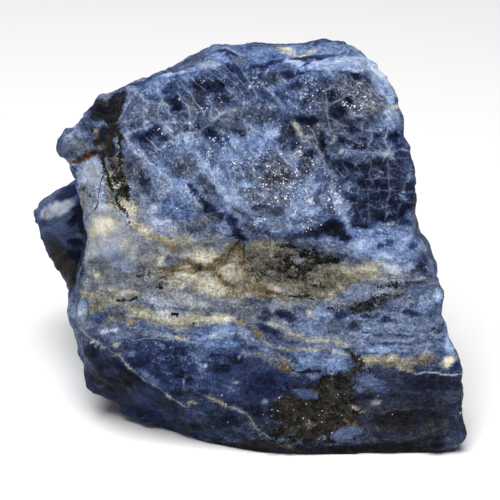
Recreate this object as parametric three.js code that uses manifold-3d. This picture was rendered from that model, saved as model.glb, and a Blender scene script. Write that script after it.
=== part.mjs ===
// A hand-sized lump of rough sodalite: one broken piece of rock, in millimetres, +Z up.
// It leans back a little, with its broadest face towards -Y, and rests on a small flat spot.
// The origin is on the ground, under the middle of the stone's bounding box.
//
// The rock is built the way it broke. A body, the hull of its hand-placed corners, loses
// flakes from its broad face and bowl-shaped bites elsewhere, and a spur joins it at the back.
// The surface, divided finely all along, is then roughened and cut level where it stands.
import * as THREE from "three";
import { ConvexGeometry } from "three/addons/geometries/ConvexGeometry.js";
import { ImprovedNoise } from "three/addons/math/ImprovedNoise.js";
import { mergeVertices } from "three/addons/utils/BufferGeometryUtils.js";
import Module from "manifold-3d";

const wasm = await Module();
wasm.setup();

// Driving dimensions.
const FACE_FOOT = 2; // where the broad face would meet the ground, along Y
const FACE_LEAN = 0.36; // how far the face leans back for each millimetre up
const LONGEST_EDGE = 5.4; // of a triangle, after the surface is divided
const STONE_COLOUR = 0x4a5f94;

// Lumps, dents and grit: how far each moves the surface, and how wide it is.
const ROUGHNESS = [
  { reach: 0.8, width: 19 },
  { reach: 0.7, width: 8 },
  { reach: 0.4, width: 4 },
];

// A point of the broad face, from its place across and up. Proud moves it out of the face.
const onFace = (x, z, proud = 0) => [x, FACE_FOOT + FACE_LEAN * z - proud, z];

// The corners of each block.
const BLOCKS = {
  body: [
    // the face's rim, from the upper left round to the right and down to the foot
    onFace(-26.5, 72.3),
    onFace(-7.2, 77.4),
    onFace(10.3, 77.2),
    onFace(19.6, 76.6, -0.3),
    onFace(25.8, 74.2, -1),
    onFace(30.2, 68.8, -1.5),
    onFace(33.9, 58.2, -1),
    onFace(44.2, 18.2, -1),
    [45, 4.6, 5],
    // the bevel down the left
    onFace(-27, 60),
    onFace(-30, 38),
    [-40.4, 33.5, 60],
    [-39.2, 32, 56.5],
    [-38.4, 25, 28.8],
    [-39.2, 24.5, 23],
    [-37.6, 22, 14.2],
    // the crease where the face turns under, from the left edge down to the ground
    onFace(-29.3, 19.8),
    onFace(-17.8, 12.9, 0.3),
    onFace(-7.3, 7.9, 0.3),
    onFace(4.2, 3.9),
    // the ridge low on the face, proud of it, below which it stands upright
    onFace(-2, 17, 1.6),
    onFace(16, 22, 2),
    onFace(32, 18.5, 1.4),
    // the left foot and the ground line, a little below the final cut
    [-35.2, 18, 8],
    [-30, 17.6, 4.8],
    [-24, 16.8, 0.8],
    [-15.9, 12.5, -1],
    [-9.6, 8.7, -1],
    [3.2, 5, -1],
    [14.7, 3.4, -1],
    [31.7, 4, -1],
    [43, 4.8, -1],
    [44, 12, -1],
    // the top and its back edge
    [-39.1, 34, 61.6],
    [-35.8, 34.5, 64.2],
    [-31.6, 35.5, 68.8],
    [-28.9, 36, 69.2],
    [-11.9, 44, 73.8],
    [-8.6, 46, 76.2],
    [2, 48, 75.6],
    [15.2, 46.5, 77.6],
    [21.2, 43, 77.8],
    [26.4, 37, 77],
    [29.2, 34, 73.4],
    // the back, from the shoulders down
    [-36, 47, 50],
    [-30, 52, 58],
    [-10, 59, 64],
    [13, 60, 60],
    [27, 50, 58],
    [33, 42, 48],
    [-40, 57, 30],
    [-30, 66, 40],
    [-6, 73, 40],
    [14, 70, 30],
    [31, 60, 32],
    [38, 45, 26],
    [41, 24, 24],
    // the underside, which rises from the flat spot to the back
    [-34, 44, 9],
    [-30, 60, 12],
    [-6, 67, 10],
    [20, 63, 9],
    [34, 50, 8],
    [-18, 38, -1],
    [-2, 48, -1],
    [22, 44, -1],
    [38, 28, -1],
  ],
  spur: [
    // the side that shows past the body's left edge
    [-48.1, 42, 39.2],
    [-46.6, 42, 36.4],
    [-43.8, 41.5, 31],
    [-41.9, 40, 25.2],
    [-39.6, 38, 20.4],
    [-46.4, 43, 40.7],
    [-44.3, 45, 41.8],
    [-41, 47, 42.8],
    // its back, which widens into the back of the body
    [-35, 50, 46],
    [-46.6, 52, 35],
    [-44.6, 61, 29],
    [-42, 61, 17],
    [-38, 44, 12],
    [-34, 60, 11],
    [-24, 62, 50],
    [-20, 70, 36],
    [-22, 69, 22],
    [-24, 48, 14],
    [-22, 46, 44],
  ],
};

// Flakes, struck off the broad face: the corners of each scar, across, up and into the face.
const FLAKES = {
  ledge: [
    [-15, 66, 0.2],
    [3, 68.5, 1.2],
    [21, 66.5, 1.1],
    [27, 58, 0.7],
    [25, 46, 0.1],
    [2, 43, 0.1],
    [-14, 50, 0.1],
  ],
  crackBand: [
    [-29, 70, 0.8],
    [-25.5, 70, 1],
    [-26, 62, 1.2],
    [-29.5, 57, 0.5],
    [-31.5, 61, 0.6],
  ],
  softBand: [
    [-22, 41, 0.1],
    [-3, 44.5, 1.1],
    [15, 43, 1.3],
    [30, 37, 0.8],
    [27, 33, 0.3],
    [2, 31, 0.1],
    [-18, 34, 0.1],
  ],
};
const FLAKE_STANDS = 9; // how far a flake's tool reaches out of the face

// Bowls, struck off the body by blows: where each landed, the way it came from, the radius of
// the ball that fits it, how deep it bit, and how far the ball is drawn out from front to back.
const BOWLS = {
  waist: { at: [-39.2, 26, 41], from: [-1, 0, 0], radius: 28.8, deep: 4.5, drawn: 2 },
  rightRim: { at: [36.8, 30, 45], from: [0.97, 0, 0.25], radius: 26, deep: 2.3, drawn: 3 },
  rightRimLow: { at: [41.9, 20, 26], from: [0.96, 0, 0.29], radius: 20, deep: 1, drawn: 3 },
  ridge: { at: [7, 47, 77], from: [0, 0.5, 0.87], radius: 26, deep: 1.4, drawn: 1 },
  topLeft: { at: [-17.5, 42, 73.6], from: [-0.3, 0.2, 0.93], radius: 26, deep: 1.3, drawn: 1 },
  upperBack: { at: [25, 52, 57], from: [0.55, 0.7, 0.45], radius: 80, deep: 3, drawn: 1 },
  rightBack: { at: [36, 50, 28], from: [0.75, 0.65, 0.1], radius: 70, deep: 3.5, drawn: 1 },
  lowBack: { at: [-8, 73, 34], from: [-0.15, 0.97, -0.2], radius: 75, deep: 4, drawn: 1 },
};
const BOWL_FACET = 5; // across a facet of a bowl, about

// A closed geometry's corners and triangles, its shared corners merged.
function surfaceOf(geometry) {
  geometry.deleteAttribute("normal");
  geometry.deleteAttribute("uv");
  const merged = mergeVertices(geometry, 1e-4);
  return surface(merged.getAttribute("position").array, merged.index.array);
}

// Flat lists of numbers, as points and as triangles of three corners.
function surface(places, indices) {
  const [corners, triangles] = [[], []];
  for (let i = 0; i < places.length; i += 3) {
    corners.push(new THREE.Vector3(...places.subarray(i, i + 3)));
  }
  for (let i = 0; i < indices.length; i += 3) {
    triangles.push([...indices.subarray(i, i + 3)]);
  }
  return { corners, triangles };
}

const solidOf = ({ corners, triangles }) =>
  new wasm.Manifold(
    new wasm.Mesh({
      numProp: 3,
      vertProperties: new Float32Array(corners.flatMap((c) => c.toArray())),
      triVerts: new Uint32Array(triangles.flat()),
    }),
  );

// A closed geometry as a solid whose triangles are all small.
const fineSolid = (geometry) => solidOf(divided(surfaceOf(geometry)));

const blockSolid = (corners) =>
  fineSolid(new ConvexGeometry(corners.map((c) => new THREE.Vector3(...c))));

// The hull of a scar's corners and of the same corners well out of the face.
function flakeSolid(scar) {
  const inside = scar.map(([x, z, deep]) => onFace(x, z, -deep));
  const outside = scar.map(([x, z]) => onFace(x, z, FLAKE_STANDS));
  return blockSolid([...inside, ...outside]);
}

// A ball that bites so deep at the point that the blow landed on.
function bowlSolid({ at, from, radius, deep, drawn }) {
  const ball = new THREE.IcosahedronGeometry(radius, Math.round(radius / BOWL_FACET));
  const reach = new THREE.Vector3(...from).setLength(radius - deep);
  return fineSolid(ball.scale(1, drawn, 1).translate(...reach.toArray()).translate(...at));
}

// Halves every edge that is over the longest allowed, until none is. Triangles that share
// an edge share its middle, so the surface stays closed.
function divided({ corners, triangles }) {
  for (;;) {
    const middles = new Map();
    const middleOf = (a, b) => {
      const key = a < b ? `${a} ${b}` : `${b} ${a}`;
      if (!middles.has(key)) {
        const split = corners[a].distanceTo(corners[b]) > LONGEST_EDGE;
        const middle = new THREE.Vector3().lerpVectors(corners[a], corners[b], 0.5);
        middles.set(key, split ? corners.push(middle) - 1 : null);
      }
      return middles.get(key);
    };
    const before = corners.length;
    triangles = triangles.flatMap((t) => cutUp(t, middleOf));
    if (corners.length === before) return { corners, triangles };
  }
}

// One triangle, cut up by the middles that its edges got.
function cutUp([a, b, c], middleOf) {
  const [ab, bc, ca] = [middleOf(a, b), middleOf(b, c), middleOf(c, a)];
  const cuts = [ab, bc, ca].filter((m) => m !== null).length;
  if (cuts === 0) return [[a, b, c]];
  if (cuts === 3) {
    return [
      [a, ab, ca],
      [ab, b, bc],
      [ca, bc, c],
      [ab, bc, ca],
    ];
  }
  // Turn the triangle until its uncut or only cut edge is where the cases below want it.
  if (cuts === 1) {
    if (ab === null) return cutUp([b, c, a], middleOf);
    return [
      [a, ab, c],
      [ab, b, c],
    ];
  }
  if (ca !== null) return cutUp([b, c, a], middleOf);
  return [
    [ab, b, bc],
    [a, ab, bc],
    [a, bc, c],
  ];
}

// Moves a point by noise in all three directions, so that even sharp edges stay closed.
const noise = new ImprovedNoise();
function roughened(point) {
  const moved = point.clone();
  for (const { reach, width } of ROUGHNESS) {
    const p = point.clone().divideScalar(width);
    moved.x += reach * noise.noise(p.x + 31, p.y, p.z);
    moved.y += reach * noise.noise(p.x, p.y + 57, p.z);
    moved.z += reach * noise.noise(p.x, p.y, p.z + 83);
  }
  return moved;
}

// The body less its flakes and bowls, with the spur added.
function brokenRock() {
  let rock = blockSolid(BLOCKS.body);
  for (const scar of Object.values(FLAKES)) rock = rock.subtract(flakeSolid(scar));
  for (const bowl of Object.values(BOWLS)) rock = rock.subtract(bowlSolid(bowl));
  return rock.add(blockSolid(BLOCKS.spur));
}

// The rock, roughened. Everything below the ground is then cut away, for the flat spot.
function standingRock() {
  const { vertProperties, triVerts } = brokenRock().getMesh();
  const { corners, triangles } = surface(vertProperties, triVerts);
  const rough = solidOf({ corners: corners.map(roughened), triangles });
  const ground = new THREE.BoxGeometry(300, 300, 40).translate(0, 0, -20);
  return rough.subtract(solidOf(surfaceOf(ground)));
}

// The rock's geometry, moved so that the origin lies under the middle of its bounding box.
function stoneGeometry() {
  const { vertProperties, triVerts } = standingRock().getMesh();
  const geometry = new THREE.BufferGeometry()
    .setAttribute("position", new THREE.BufferAttribute(vertProperties, 3))
    .setIndex(new THREE.BufferAttribute(triVerts, 1));
  geometry.computeBoundingBox();
  const middle = geometry.boundingBox.getCenter(new THREE.Vector3());
  geometry.translate(-middle.x, -middle.y, 0);
  geometry.computeVertexNormals();
  return geometry;
}

const stone = new THREE.Mesh(
  stoneGeometry(),
  new THREE.MeshStandardMaterial({
    color: STONE_COLOUR,
    roughness: 0.5,
    metalness: 0,
    flatShading: true,
  }),
);
stone.name = "stone";

const specimen = new THREE.Group();
specimen.add(stone);

export default specimen;
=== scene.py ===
# %% [markdown]
# # A rough sodalite stone
#
# The object is one lump of rock, broken off by hand: deep blue sodalite, cut by white hairlines,
# with bands of cream and olive minerals, a sooty crack and tiny glints. The imported model gives its
# size and its large planes. Here it gets what a hand lens would show, the broken grain in the mesh
# and the minerals in the material. First the imported model is loaded, because the finished stone
# has to fill the same space.

# %% Load the imported stone
import math

import bpy
import numpy as np
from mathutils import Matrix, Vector, noise


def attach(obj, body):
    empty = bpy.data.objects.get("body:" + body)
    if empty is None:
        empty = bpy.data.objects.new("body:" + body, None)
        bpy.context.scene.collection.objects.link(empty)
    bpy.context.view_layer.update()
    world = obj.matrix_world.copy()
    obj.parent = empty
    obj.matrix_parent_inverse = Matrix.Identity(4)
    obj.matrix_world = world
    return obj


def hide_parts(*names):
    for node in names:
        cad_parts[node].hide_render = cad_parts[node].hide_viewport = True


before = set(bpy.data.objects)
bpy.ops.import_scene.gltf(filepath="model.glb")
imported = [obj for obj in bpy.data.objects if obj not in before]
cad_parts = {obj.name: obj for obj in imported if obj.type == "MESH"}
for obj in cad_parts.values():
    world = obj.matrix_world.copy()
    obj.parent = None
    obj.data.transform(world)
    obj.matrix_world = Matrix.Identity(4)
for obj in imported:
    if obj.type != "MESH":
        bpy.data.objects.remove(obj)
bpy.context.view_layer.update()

MM = 0.001
solid_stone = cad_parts["stone"]

# %% [markdown]
# ## Directions on the broad face
#
# Nearly everything to see is on one broad broken face that leans back by about 20 degrees. It is
# easiest to describe the stone as seen square on to that face: millimetres across it, up it, and
# out of it towards the viewer. These three directions place the camera, and later every crack,
# vein and mineral patch.

# %% The three directions
FACE_MIDDLE = Vector((1.4, -12.5, 37.8)) * MM
LOOK_DOWN = math.radians(25)
ACROSS = Vector((1, 0, 0))
UP_FACE = Vector((0, math.sin(LOOK_DOWN), math.cos(LOOK_DOWN)))
OUT_OF_FACE = Vector((0, -math.cos(LOOK_DOWN), math.sin(LOOK_DOWN)))


def face_mm(places):
    """Millimetres across, up and out of the broad face for an array of places in metres."""
    turn = np.array([ACROSS, UP_FACE, OUT_OF_FACE])
    return (places - np.array(FACE_MIDDLE)) @ turn.T / MM


print("the face middle is", [round(c / MM, 1) for c in FACE_MIDDLE], "mm")

# %% [markdown]
# ## Camera, floor and light
#
# A long lens from 42 cm away flattens the stone as in a product shot. The floor is plain and pale.
# A real mineral shot uses a big diffuser overhead: it makes the top side bright, gives the face
# soft light, and leaves the parts that turn away dark. One large area lamp does that, with a weaker
# one from the front left and a pale sky to fill the shadows.

# %% Camera
CAMERA_AWAY = 420 * MM
LENS = 142.3
NEAREST_SEEN = 10 * MM

bpy.ops.object.select_all(action="DESELECT")
bpy.ops.object.camera_add(
    location=FACE_MIDDLE + OUT_OF_FACE * CAMERA_AWAY,
    rotation=(math.pi / 2 - LOOK_DOWN, 0, 0),
)
camera = bpy.context.object
camera.name = "camera"
camera.data.lens = LENS
camera.data.clip_start = NEAREST_SEEN
bpy.context.scene.camera = camera
bpy.context.scene.view_settings.view_transform = "Standard"
print("camera at", [round(c, 3) for c in camera.location])

# %% Floor
FLOOR_WIDE = 12
FLOOR_WHITE = (0.99, 0.99, 0.99, 1)
FLOOR_ROUGH = 0.9

bpy.ops.object.select_all(action="DESELECT")
bpy.ops.mesh.primitive_plane_add(size=FLOOR_WIDE, location=(0, 0, 0))
floor = bpy.context.object
floor.name = "floor"

floor_paint = bpy.data.materials.new("pale floor")
floor_paint.use_nodes = True
floor_shader = floor_paint.node_tree.nodes["Principled BSDF"]
floor_shader.inputs["Base Color"].default_value = FLOOR_WHITE
floor_shader.inputs["Roughness"].default_value = FLOOR_ROUGH
floor.data.materials.append(floor_paint)
print("floor ready,", FLOOR_WIDE, "m wide")

# %% Lamps
LAMP_AIM = Vector((0, 0, 35)) * MM


def soft_lamp(name, towards, away, side, power):
    """A square area lamp that looks at the stone from a direction (x, y, z)."""
    place = LAMP_AIM + Vector(towards).normalized() * away
    bpy.ops.object.light_add(type="AREA", location=place)
    lamp = bpy.context.object
    lamp.name = name
    lamp.data.shape = "SQUARE"
    lamp.data.size = side
    lamp.data.energy = power
    lamp.rotation_euler = (LAMP_AIM - place).to_track_quat("-Z", "Y").to_euler()
    print(name, "at", [round(c, 2) for c in place])


soft_lamp("overhead diffuser", (-0.1, -0.35, 1.0), away=0.9, side=0.7, power=12.0)
soft_lamp("front fill", (-0.6, -1.0, 0.5), away=1.0, side=0.5, power=0.5)

# %% Sky
SKY_HORIZON = 0.4
SKY_ZENITH = 2.3
ZENITH_REACHED = 0.9

sky = bpy.data.worlds.new("studio")
bpy.context.scene.world = sky
sky.use_nodes = True
studio = sky.node_tree
where = studio.nodes.new("ShaderNodeTexCoord")
height = studio.nodes.new("ShaderNodeSeparateXYZ")
fall = studio.nodes.new("ShaderNodeMapRange")
studio.links.new(where.outputs["Generated"], height.inputs[0])
studio.links.new(height.outputs["Z"], fall.inputs["Value"])
fall.inputs["From Min"].default_value = 0.0
fall.inputs["From Max"].default_value = ZENITH_REACHED
fall.inputs["To Min"].default_value = SKY_HORIZON
fall.inputs["To Max"].default_value = SKY_ZENITH
studio.links.new(fall.outputs[0], studio.nodes["Background"].inputs["Strength"])
print("sky from", SKY_HORIZON, "at the horizon to", SKY_ZENITH, "overhead")

# %% [markdown]
# ## The lump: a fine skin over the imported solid
#
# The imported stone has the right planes, but its facets are a few millimetres wide, and broken rock
# has finer ones. Its mesh could be subdivided, but its triangles are uneven, so the new ones would
# be too. A voxel remesh makes an even skin instead, like wet clay pressed over the same form, with
# a point about every half millimetre. A little smoothing takes off the marks of the old facets.
# Sharp detail is added afterwards.

# %% Even skin
SKIN_GRAIN = 0.58 * MM
SAME_POINT = 1e-6
EASE_FACTOR = 0.5
EASE_TIMES = 9

stone = bpy.data.objects.new("rough_stone", solid_stone.data.copy())
bpy.context.scene.collection.objects.link(stone)
stone.data.materials.clear()
bpy.ops.object.select_all(action="DESELECT")
stone.select_set(True)
bpy.context.view_layer.objects.active = stone
bpy.ops.object.mode_set(mode="EDIT")
bpy.ops.mesh.select_all(action="SELECT")
bpy.ops.mesh.remove_doubles(threshold=SAME_POINT)
bpy.ops.object.mode_set(mode="OBJECT")

skin = stone.modifiers.new("skin", "REMESH")
skin.mode = "VOXEL"
skin.voxel_size = SKIN_GRAIN
bpy.ops.object.modifier_apply(modifier=skin.name)
ease = stone.modifiers.new("ease", "SMOOTH")
ease.factor = EASE_FACTOR
ease.iterations = EASE_TIMES
bpy.ops.object.modifier_apply(modifier=ease.name)
print("skin:", len(stone.data.vertices), "points")

# %% [markdown]
# ## Reading the skin
#
# The next steps ask of each point of the skin where it is on the broad face and which way it
# looks, so both are read once into arrays.

# %% Places and directions of the skin's points


def read_points(what):
    """A vector for each point of the skin: its place in metres (co) or its direction (normal)."""
    values = np.empty(len(stone.data.vertices) * 3)
    stone.data.vertices.foreach_get(what, values)
    return values.reshape(-1, 3)


places = read_points("co")
looks = read_points("normal")
on_face = face_mm(places)
faces_viewer = looks @ np.array(OUT_OF_FACE)
print("across", on_face[:, 0].min().round(1), "to", on_face[:, 0].max().round(1), "mm")

# %% [markdown]
# ## Broken grain
#
# Sodalite has no clean cleavage: it breaks into small uneven facets, a few millimetres across, that
# meet at low ridges. A cloud texture would give soft dunes instead. A Voronoi noise gives the
# facets: it fills space with seeds, every point belongs to its nearest seed, and each seed gets its
# own small tilt. Near a border the planes of the nearest seeds are blended, so the skin bends there
# and doesn't tear. The noise starts from a fixed seed, so every run gives the same stone. All
# heights are collected first, and lift the skin once at the end.

# %% Facets
PATTERN_SEED = 7
LAYER_SHIFT = Vector((7.31, 3.17, 5.71))
BORDER_BENDS = 1.7
BORDER_BEND = 0.25
BORDER_BLEND = 0.07
TILT_VARIETY = 5.3
TILT_GAIN = 2
noise.seed_set(PATTERN_SEED)


def facet_heights(size, slope, layer):
    """Heights (metres) of facets about size wide, each tilted by up to slope."""
    heights = np.empty(len(places))
    for i, place in enumerate(places):
        spot = Vector(place) / size + LAYER_SHIFT * layer
        spot += noise.noise_vector(spot * BORDER_BENDS) * BORDER_BEND
        near, seeds = noise.voronoi(spot)
        total = weight_sum = 0.0
        for away, centre in zip(near, seeds):
            weight = math.exp((near[0] - away) / BORDER_BLEND)
            tilt = noise.noise_vector(centre * TILT_VARIETY) * TILT_GAIN
            total += weight * (spot - centre).dot(tilt)
            weight_sum += weight
        heights[i] = total / weight_sum
    return heights * size * slope


relief = {
    "broad facets": facet_heights(8 * MM, 0.16, layer=1),
    "small facets": facet_heights(3 * MM, 0.16, layer=2),
    "chips": facet_heights(1.4 * MM, 0.14, layer=3),
}
for name, heights in relief.items():
    print(name, "up to", round(float(np.abs(heights).max()) / MM, 2), "mm")

# %% [markdown]
# ## Painting where the minerals are
#
# A procedural material alone would give some sodalite, but not this piece: its bands and stains
# have their own places. In Blender one would paint masks on the mesh, and let the nodes add the
# grain. The same is done here in code. Each paint is one number for every point: the tone from dark
# to light, how grey the blue is, and how much there is of each other mineral. The brush works in
# millimetres on the broad face, and its strokes go on into the depth of the rock, as real bands do.
# A little noise bends every stroke, and bends it more the deeper it goes, so the sides and the back
# show the same bands in other shapes.

# %% Noise that bends the strokes
BEND_SIZE, CURL_SIZE, FRAY_SIZE = 9 * MM, 2.2 * MM, 0.9 * MM
CURL_SHIFT = Vector((5, 5, 5))
BRUSH_BEND, PEN_BEND, DEEP_BEND = 0.4, 0.6, 12
CURL, FRAY = 0.5, 0.4
FACE_FRONT, WANDER_FROM, WANDER_OVER = 4, 34, 30
GRAZING, TURNING = 0.02, 0.2

bend, curl, fray = (np.empty((len(places), 3)) for _ in range(3))
for i, place in enumerate(places):
    bend[i] = noise.noise_vector(Vector(place) / BEND_SIZE)
    curl[i] = noise.noise_vector(Vector(place) / CURL_SIZE + CURL_SHIFT)
    fray[i] = noise.noise_vector(Vector(place) / FRAY_SIZE)
depth = FACE_FRONT - on_face[:, 2]
wander = np.clip((depth - WANDER_FROM) / WANDER_OVER, 0, 1)[:, None]
drawn = on_face[:, :2] + bend[:, :2] * (BRUSH_BEND + DEEP_BEND * wander) + curl[:, :2] * CURL
drawn = drawn + fray[:, :2] * FRAY
ruled = on_face[:, :2] + bend[:, :2] * (PEN_BEND + DEEP_BEND * wander) + curl[:, :2] * CURL
turned_to_viewer = np.clip((faces_viewer - GRAZING) / TURNING, 0, 1)
print("strokes bend by up to", round(np.abs(drawn - on_face[:, :2]).max(), 1), "mm")

# %% The brush
HUES = ("cream", "olive", "rust")
OTHER_FIELDS = ("black", "glint", "pepper", "lean", "calm")
FINE_STROKE = 2
CRISP, USUAL, SOFT = 0.28, 0.4, 0.5
BLUE_COVERS = 0.94
MINERAL_DARK, MINERAL_RANGE = 0.40, 0.48
CREAM_IN_WHITE = 0.40

START_TONE, TONE_DRIFT, FRONT_DRIFT = 0.44, 0.25, 0.35
START_GREY, GREY_DRIFT = 0.35, 0.2
NET_BEHIND, LESS_IN_FRONT = 0.8, 0.6

paint = {name: np.zeros(len(places)) for name in HUES + OTHER_FIELDS}
paint["tone"] = START_TONE + TONE_DRIFT * bend[:, 2] * (FRONT_DRIFT + wander[:, 0])
paint["grey"] = START_GREY + GREY_DRIFT * bend[:, 0]
paint["net"] = NET_BEHIND - LESS_IN_FRONT * turned_to_viewer


def stroke(across, up, wide, high, turn=0, soft=USUAL):
    """Weight 0 to 1 of an oval stroke (mm, degrees): 1 inside, fading over soft of its size."""
    c, s = math.cos(math.radians(turn)), math.sin(math.radians(turn))
    x, y = drawn[:, 0] - across, drawn[:, 1] - up
    far = np.hypot((x * c + y * s) / wide, (y * c - x * s) / high)
    t = np.clip((1 + soft - far) / (2 * soft), 0, 1)
    weight = t * t * (3 - 2 * t)
    if min(wide, high) < FINE_STROKE:
        weight = weight * turned_to_viewer
    return weight


def blend_in(name, value, weight):
    """Pulls one painted field towards a value where the weight is high."""
    paint[name] += (value - paint[name]) * weight


def wipe(weight):
    """Takes all other minerals off the blue."""
    for kind in HUES + ("black",):
        blend_in(kind, 0.0, weight)


def lay(kind, light, weight):
    """Another mineral over the blue. Black is a sooty crust, and the others are rock."""
    if kind == "black":
        paint["black"] = np.maximum(paint["black"], weight)
        return
    blend_in("black", 0.0, weight)
    blend_in("tone", MINERAL_DARK + MINERAL_RANGE * light, weight)
    for hue in HUES:
        blend_in(hue, float(hue == kind), weight)
    if kind == "white":
        blend_in("grey", 1.0, weight)
        blend_in("cream", CREAM_IN_WHITE, weight)


print("brush ready for", len(places), "points")

# %% [markdown]
# ## Strokes in tables
#
# A face with hundreds of minerals takes hundreds of strokes, and their order matters, because each
# covers what lies under it. So the strokes of a region are written as a table, and one loop paints
# it. Each row starts with what the stroke is made of, in percent: a tone and a greyness for blue,
# or a kind, how far it covers and how light it is for another mineral. The oval follows, in
# millimetres: its place across and up the face, half its width and height, and, if it is turned,
# by how many degrees.

# %% Tables of strokes


def blues(rows):
    """Strokes of sodalite. Tone goes from nearly black to nearly white, greyness from blue."""
    for tone, grey, *oval in rows:
        soft = CRISP if min(oval[2:4]) < FINE_STROKE else SOFT
        weight = BLUE_COVERS * stroke(*oval, soft=soft)
        blend_in("tone", tone / 100, weight)
        wipe(weight)
        blend_in("grey", grey / 100, weight)


def minerals(rows):
    """Strokes of other minerals."""
    for kind, amount, light, *oval in rows:
        lay(kind, light / 100, amount / 100 * stroke(*oval, soft=SOFT))


def dabs(name, rows):
    """Strokes that pull one field towards a value."""
    for value, *oval in rows:
        blend_in(name, value / 100, stroke(*oval))


print("tables can be painted")

# %% [markdown]
# ## A pen for what is finer than the mesh
#
# The points of the skin are half a millimetre apart, and a hairline is a fifth of that. So the pen
# doesn't store a colour. It stores how far each point is from the line, and the material draws the
# line where that number passes zero, which stays sharp between the points. A point can remember
# only one distance per pen, so a line that comes near another takes the next free pen. Wider veins,
# cracks and steps are drawn along the same kind of path, as soft strokes or as heights.

# %% Paths, and what is soft along them
FAR_OFF = 1e9
HAZE_COVERS = 0.85


def along(points):
    """For every point of the skin: signed distance (mm) to a drawn path, and true distance."""
    points = np.array(points, float)
    best = np.full(len(places), FAR_OFF)
    side = np.zeros(len(places))
    for start, end in zip(points[:-1], points[1:]):
        step = end - start
        length = np.hypot(*step)
        x, y = ruled[:, 0] - start[0], ruled[:, 1] - start[1]
        t = np.clip((x * step[0] + y * step[1]) / length**2, 0, 1)
        away = np.hypot(x - t * step[0], y - t * step[1])
        closer = away < best
        across = (x * step[1] - y * step[0]) / length
        side[closer] = across[closer]
        best[closer] = away[closer]
    return side, best


def soft_path(wide, points, most=1):
    """Weight along a path: most on it, fading over wide (mm), only on what faces the viewer."""
    return most * np.exp(-((along(points)[1] / wide) ** 2)) * turned_to_viewer


def haze(tone, wide, points, grey=None):
    """A broad soft vein in the blue."""
    weight = soft_path(wide, points, HAZE_COVERS)
    blend_in("tone", tone, weight)
    if grey is not None:
        blend_in("grey", grey, weight)


def streaks(rows):
    """Ragged veins of other minerals: kind, cover and light (percent), half width (mm), path."""
    for kind, amount, light, wide, points in rows:
        lay(kind, light / 100, soft_path(wide, points, amount / 100))


print("paths ready")

# %% Cracks, steps and swells in the skin
STEP_WIDTH = 0.6


def lift(name, heights):
    """Adds heights (metres) to a part of the relief."""
    relief[name] = relief.get(name, 0) + heights


def groove(name, wide, deep, points):
    """A crack or a crease cut into the skin (mm)."""
    lift(name, -deep * MM * soft_path(wide, points))


def ledge(name, high, reach, points):
    """A step: the left side of the path stands high (mm) and sinks back over reach (mm)."""
    side, away = along(points)
    step = np.where(side < 0, 1, -1) * np.minimum(away / STEP_WIDTH, 1) * np.exp(-away / reach)
    lift(name, high * MM / 2 * step * turned_to_viewer)


def swell(high, wide, across, up):
    """Brings a spot of the skin out (mm), or presses it in."""
    away = np.hypot(on_face[:, 0] - across, on_face[:, 1] - up)
    lift("swells", high * MM * np.exp(-((away / wide) ** 2)))


print("cracks and steps ready")

# %% Hairlines
LINES_APART = 2.1
PEN_FADE = 0.35
DOTS = 10
PEN_OFF = (9.0, 0.0, 0.0)

pens, pen_lines, pen_reach = {}, {}, {}


def crosses(pen, dots):
    """Whether a line, given as dots, comes near another line of a pen."""
    gaps = (np.hypot(*(dots[:, None] - other).T).min() for other in pen_lines.get(pen, []))
    return any(gap < LINES_APART for gap in gaps)


def line(kind, half_wide, strength, points):
    """A hairline, drawn with the first pen of its kind that is free there."""
    dots = [np.linspace(a, b, DOTS) for a, b in zip(points[:-1], points[1:])]
    dots = np.concatenate(dots)
    number = 1
    while crosses(f"{kind} {number}", dots):
        number += 1
    pen = f"{kind} {number}"
    if pen not in pens:
        pens[pen] = np.tile(PEN_OFF, (len(places), 1))
        pen_reach[pen] = np.full(len(places), FAR_OFF)
    pen_lines.setdefault(pen, []).append(dots)
    side, away = along(points)
    closer = away < pen_reach[pen]
    near = np.clip((LINES_APART / 2 - away) / PEN_FADE, 0, 1) * turned_to_viewer
    drawing = np.column_stack([side / half_wide, near, np.full(len(places), strength)])
    pens[pen][closer] = drawing[closer]
    pen_reach[pen][closer] = away[closer]


def lines(rows):
    """Hairlines: kind, half width (mm), strength, path."""
    for row in rows:
        line(*row)


def veins(tone, half_wide, strength, glow, grey, paths):
    """Pale healed cracks: a fine line each, with a soft glow of a tone beside it."""
    for points in paths:
        haze(tone, glow, points, grey)
        line("white", half_wide, strength, points)


print("pens ready")

# %% Broad areas
blues([
    (50, 5, 0, 36, 34, 7), (60, 0, 4, 41, 26, 2.4), (38, 45, -24, 28, 5, 7),
    (38, 30, -4, 31, 14, 6), (46, 20, 8, 33, 8, 5), (40, 75, 22, 30, 7, 7),
    (52, 35, -18, 17, 8, 9), (56, 25, 0, 15, 14, 11), (46, 60, 12, 22, 5, 6),
    (44, 40, 24, 22, 9, 4), (11, 30, 27, 11.5, 8.5, 7.6), (62, 5, 27, 1.5, 10, 4.4),
    (60, 75, -31, 6, 5, 16), (58, 85, -24, 0, 10, 9), (64, 95, 0, -5, 24, 7),
    (62, 75, 27, -7, 13, 4.4), (56, 50, 0, -13, 36, 4), (54, 65, 8, -18, 16, 5),
    (56, 42, 32, -17, 13, 4.5), (52, 75, -29, -14, 8, 4), (30, 15, -19, -24, 9, 6),
    # The near-black oval at (-27, -28) under the lower-left crease is partly painted shade of the
    # underside; the last row darkens the very bottom edge.
    (32, 10, 0, -27, 12, 8), (4, 0, -27, -28, 8, 5.5), (18, 20, -17, -35, 12, 5, -12),
    (24, 50, -4, -35, 10, 6), (27, 80, 32, -33, 14, 9), (56, 15, 13, -23, 6, 3),
    (24, 55, 34, -27.5, 11, 2), (6, 90, 8, -42.4, 36, 1.5),
])
blend_in("grey", 0.3, 0.8 * stroke(-42, 5, 6, 14))
print("tone now from", paint["tone"].min().round(2), "to", paint["tone"].max().round(2))
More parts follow.
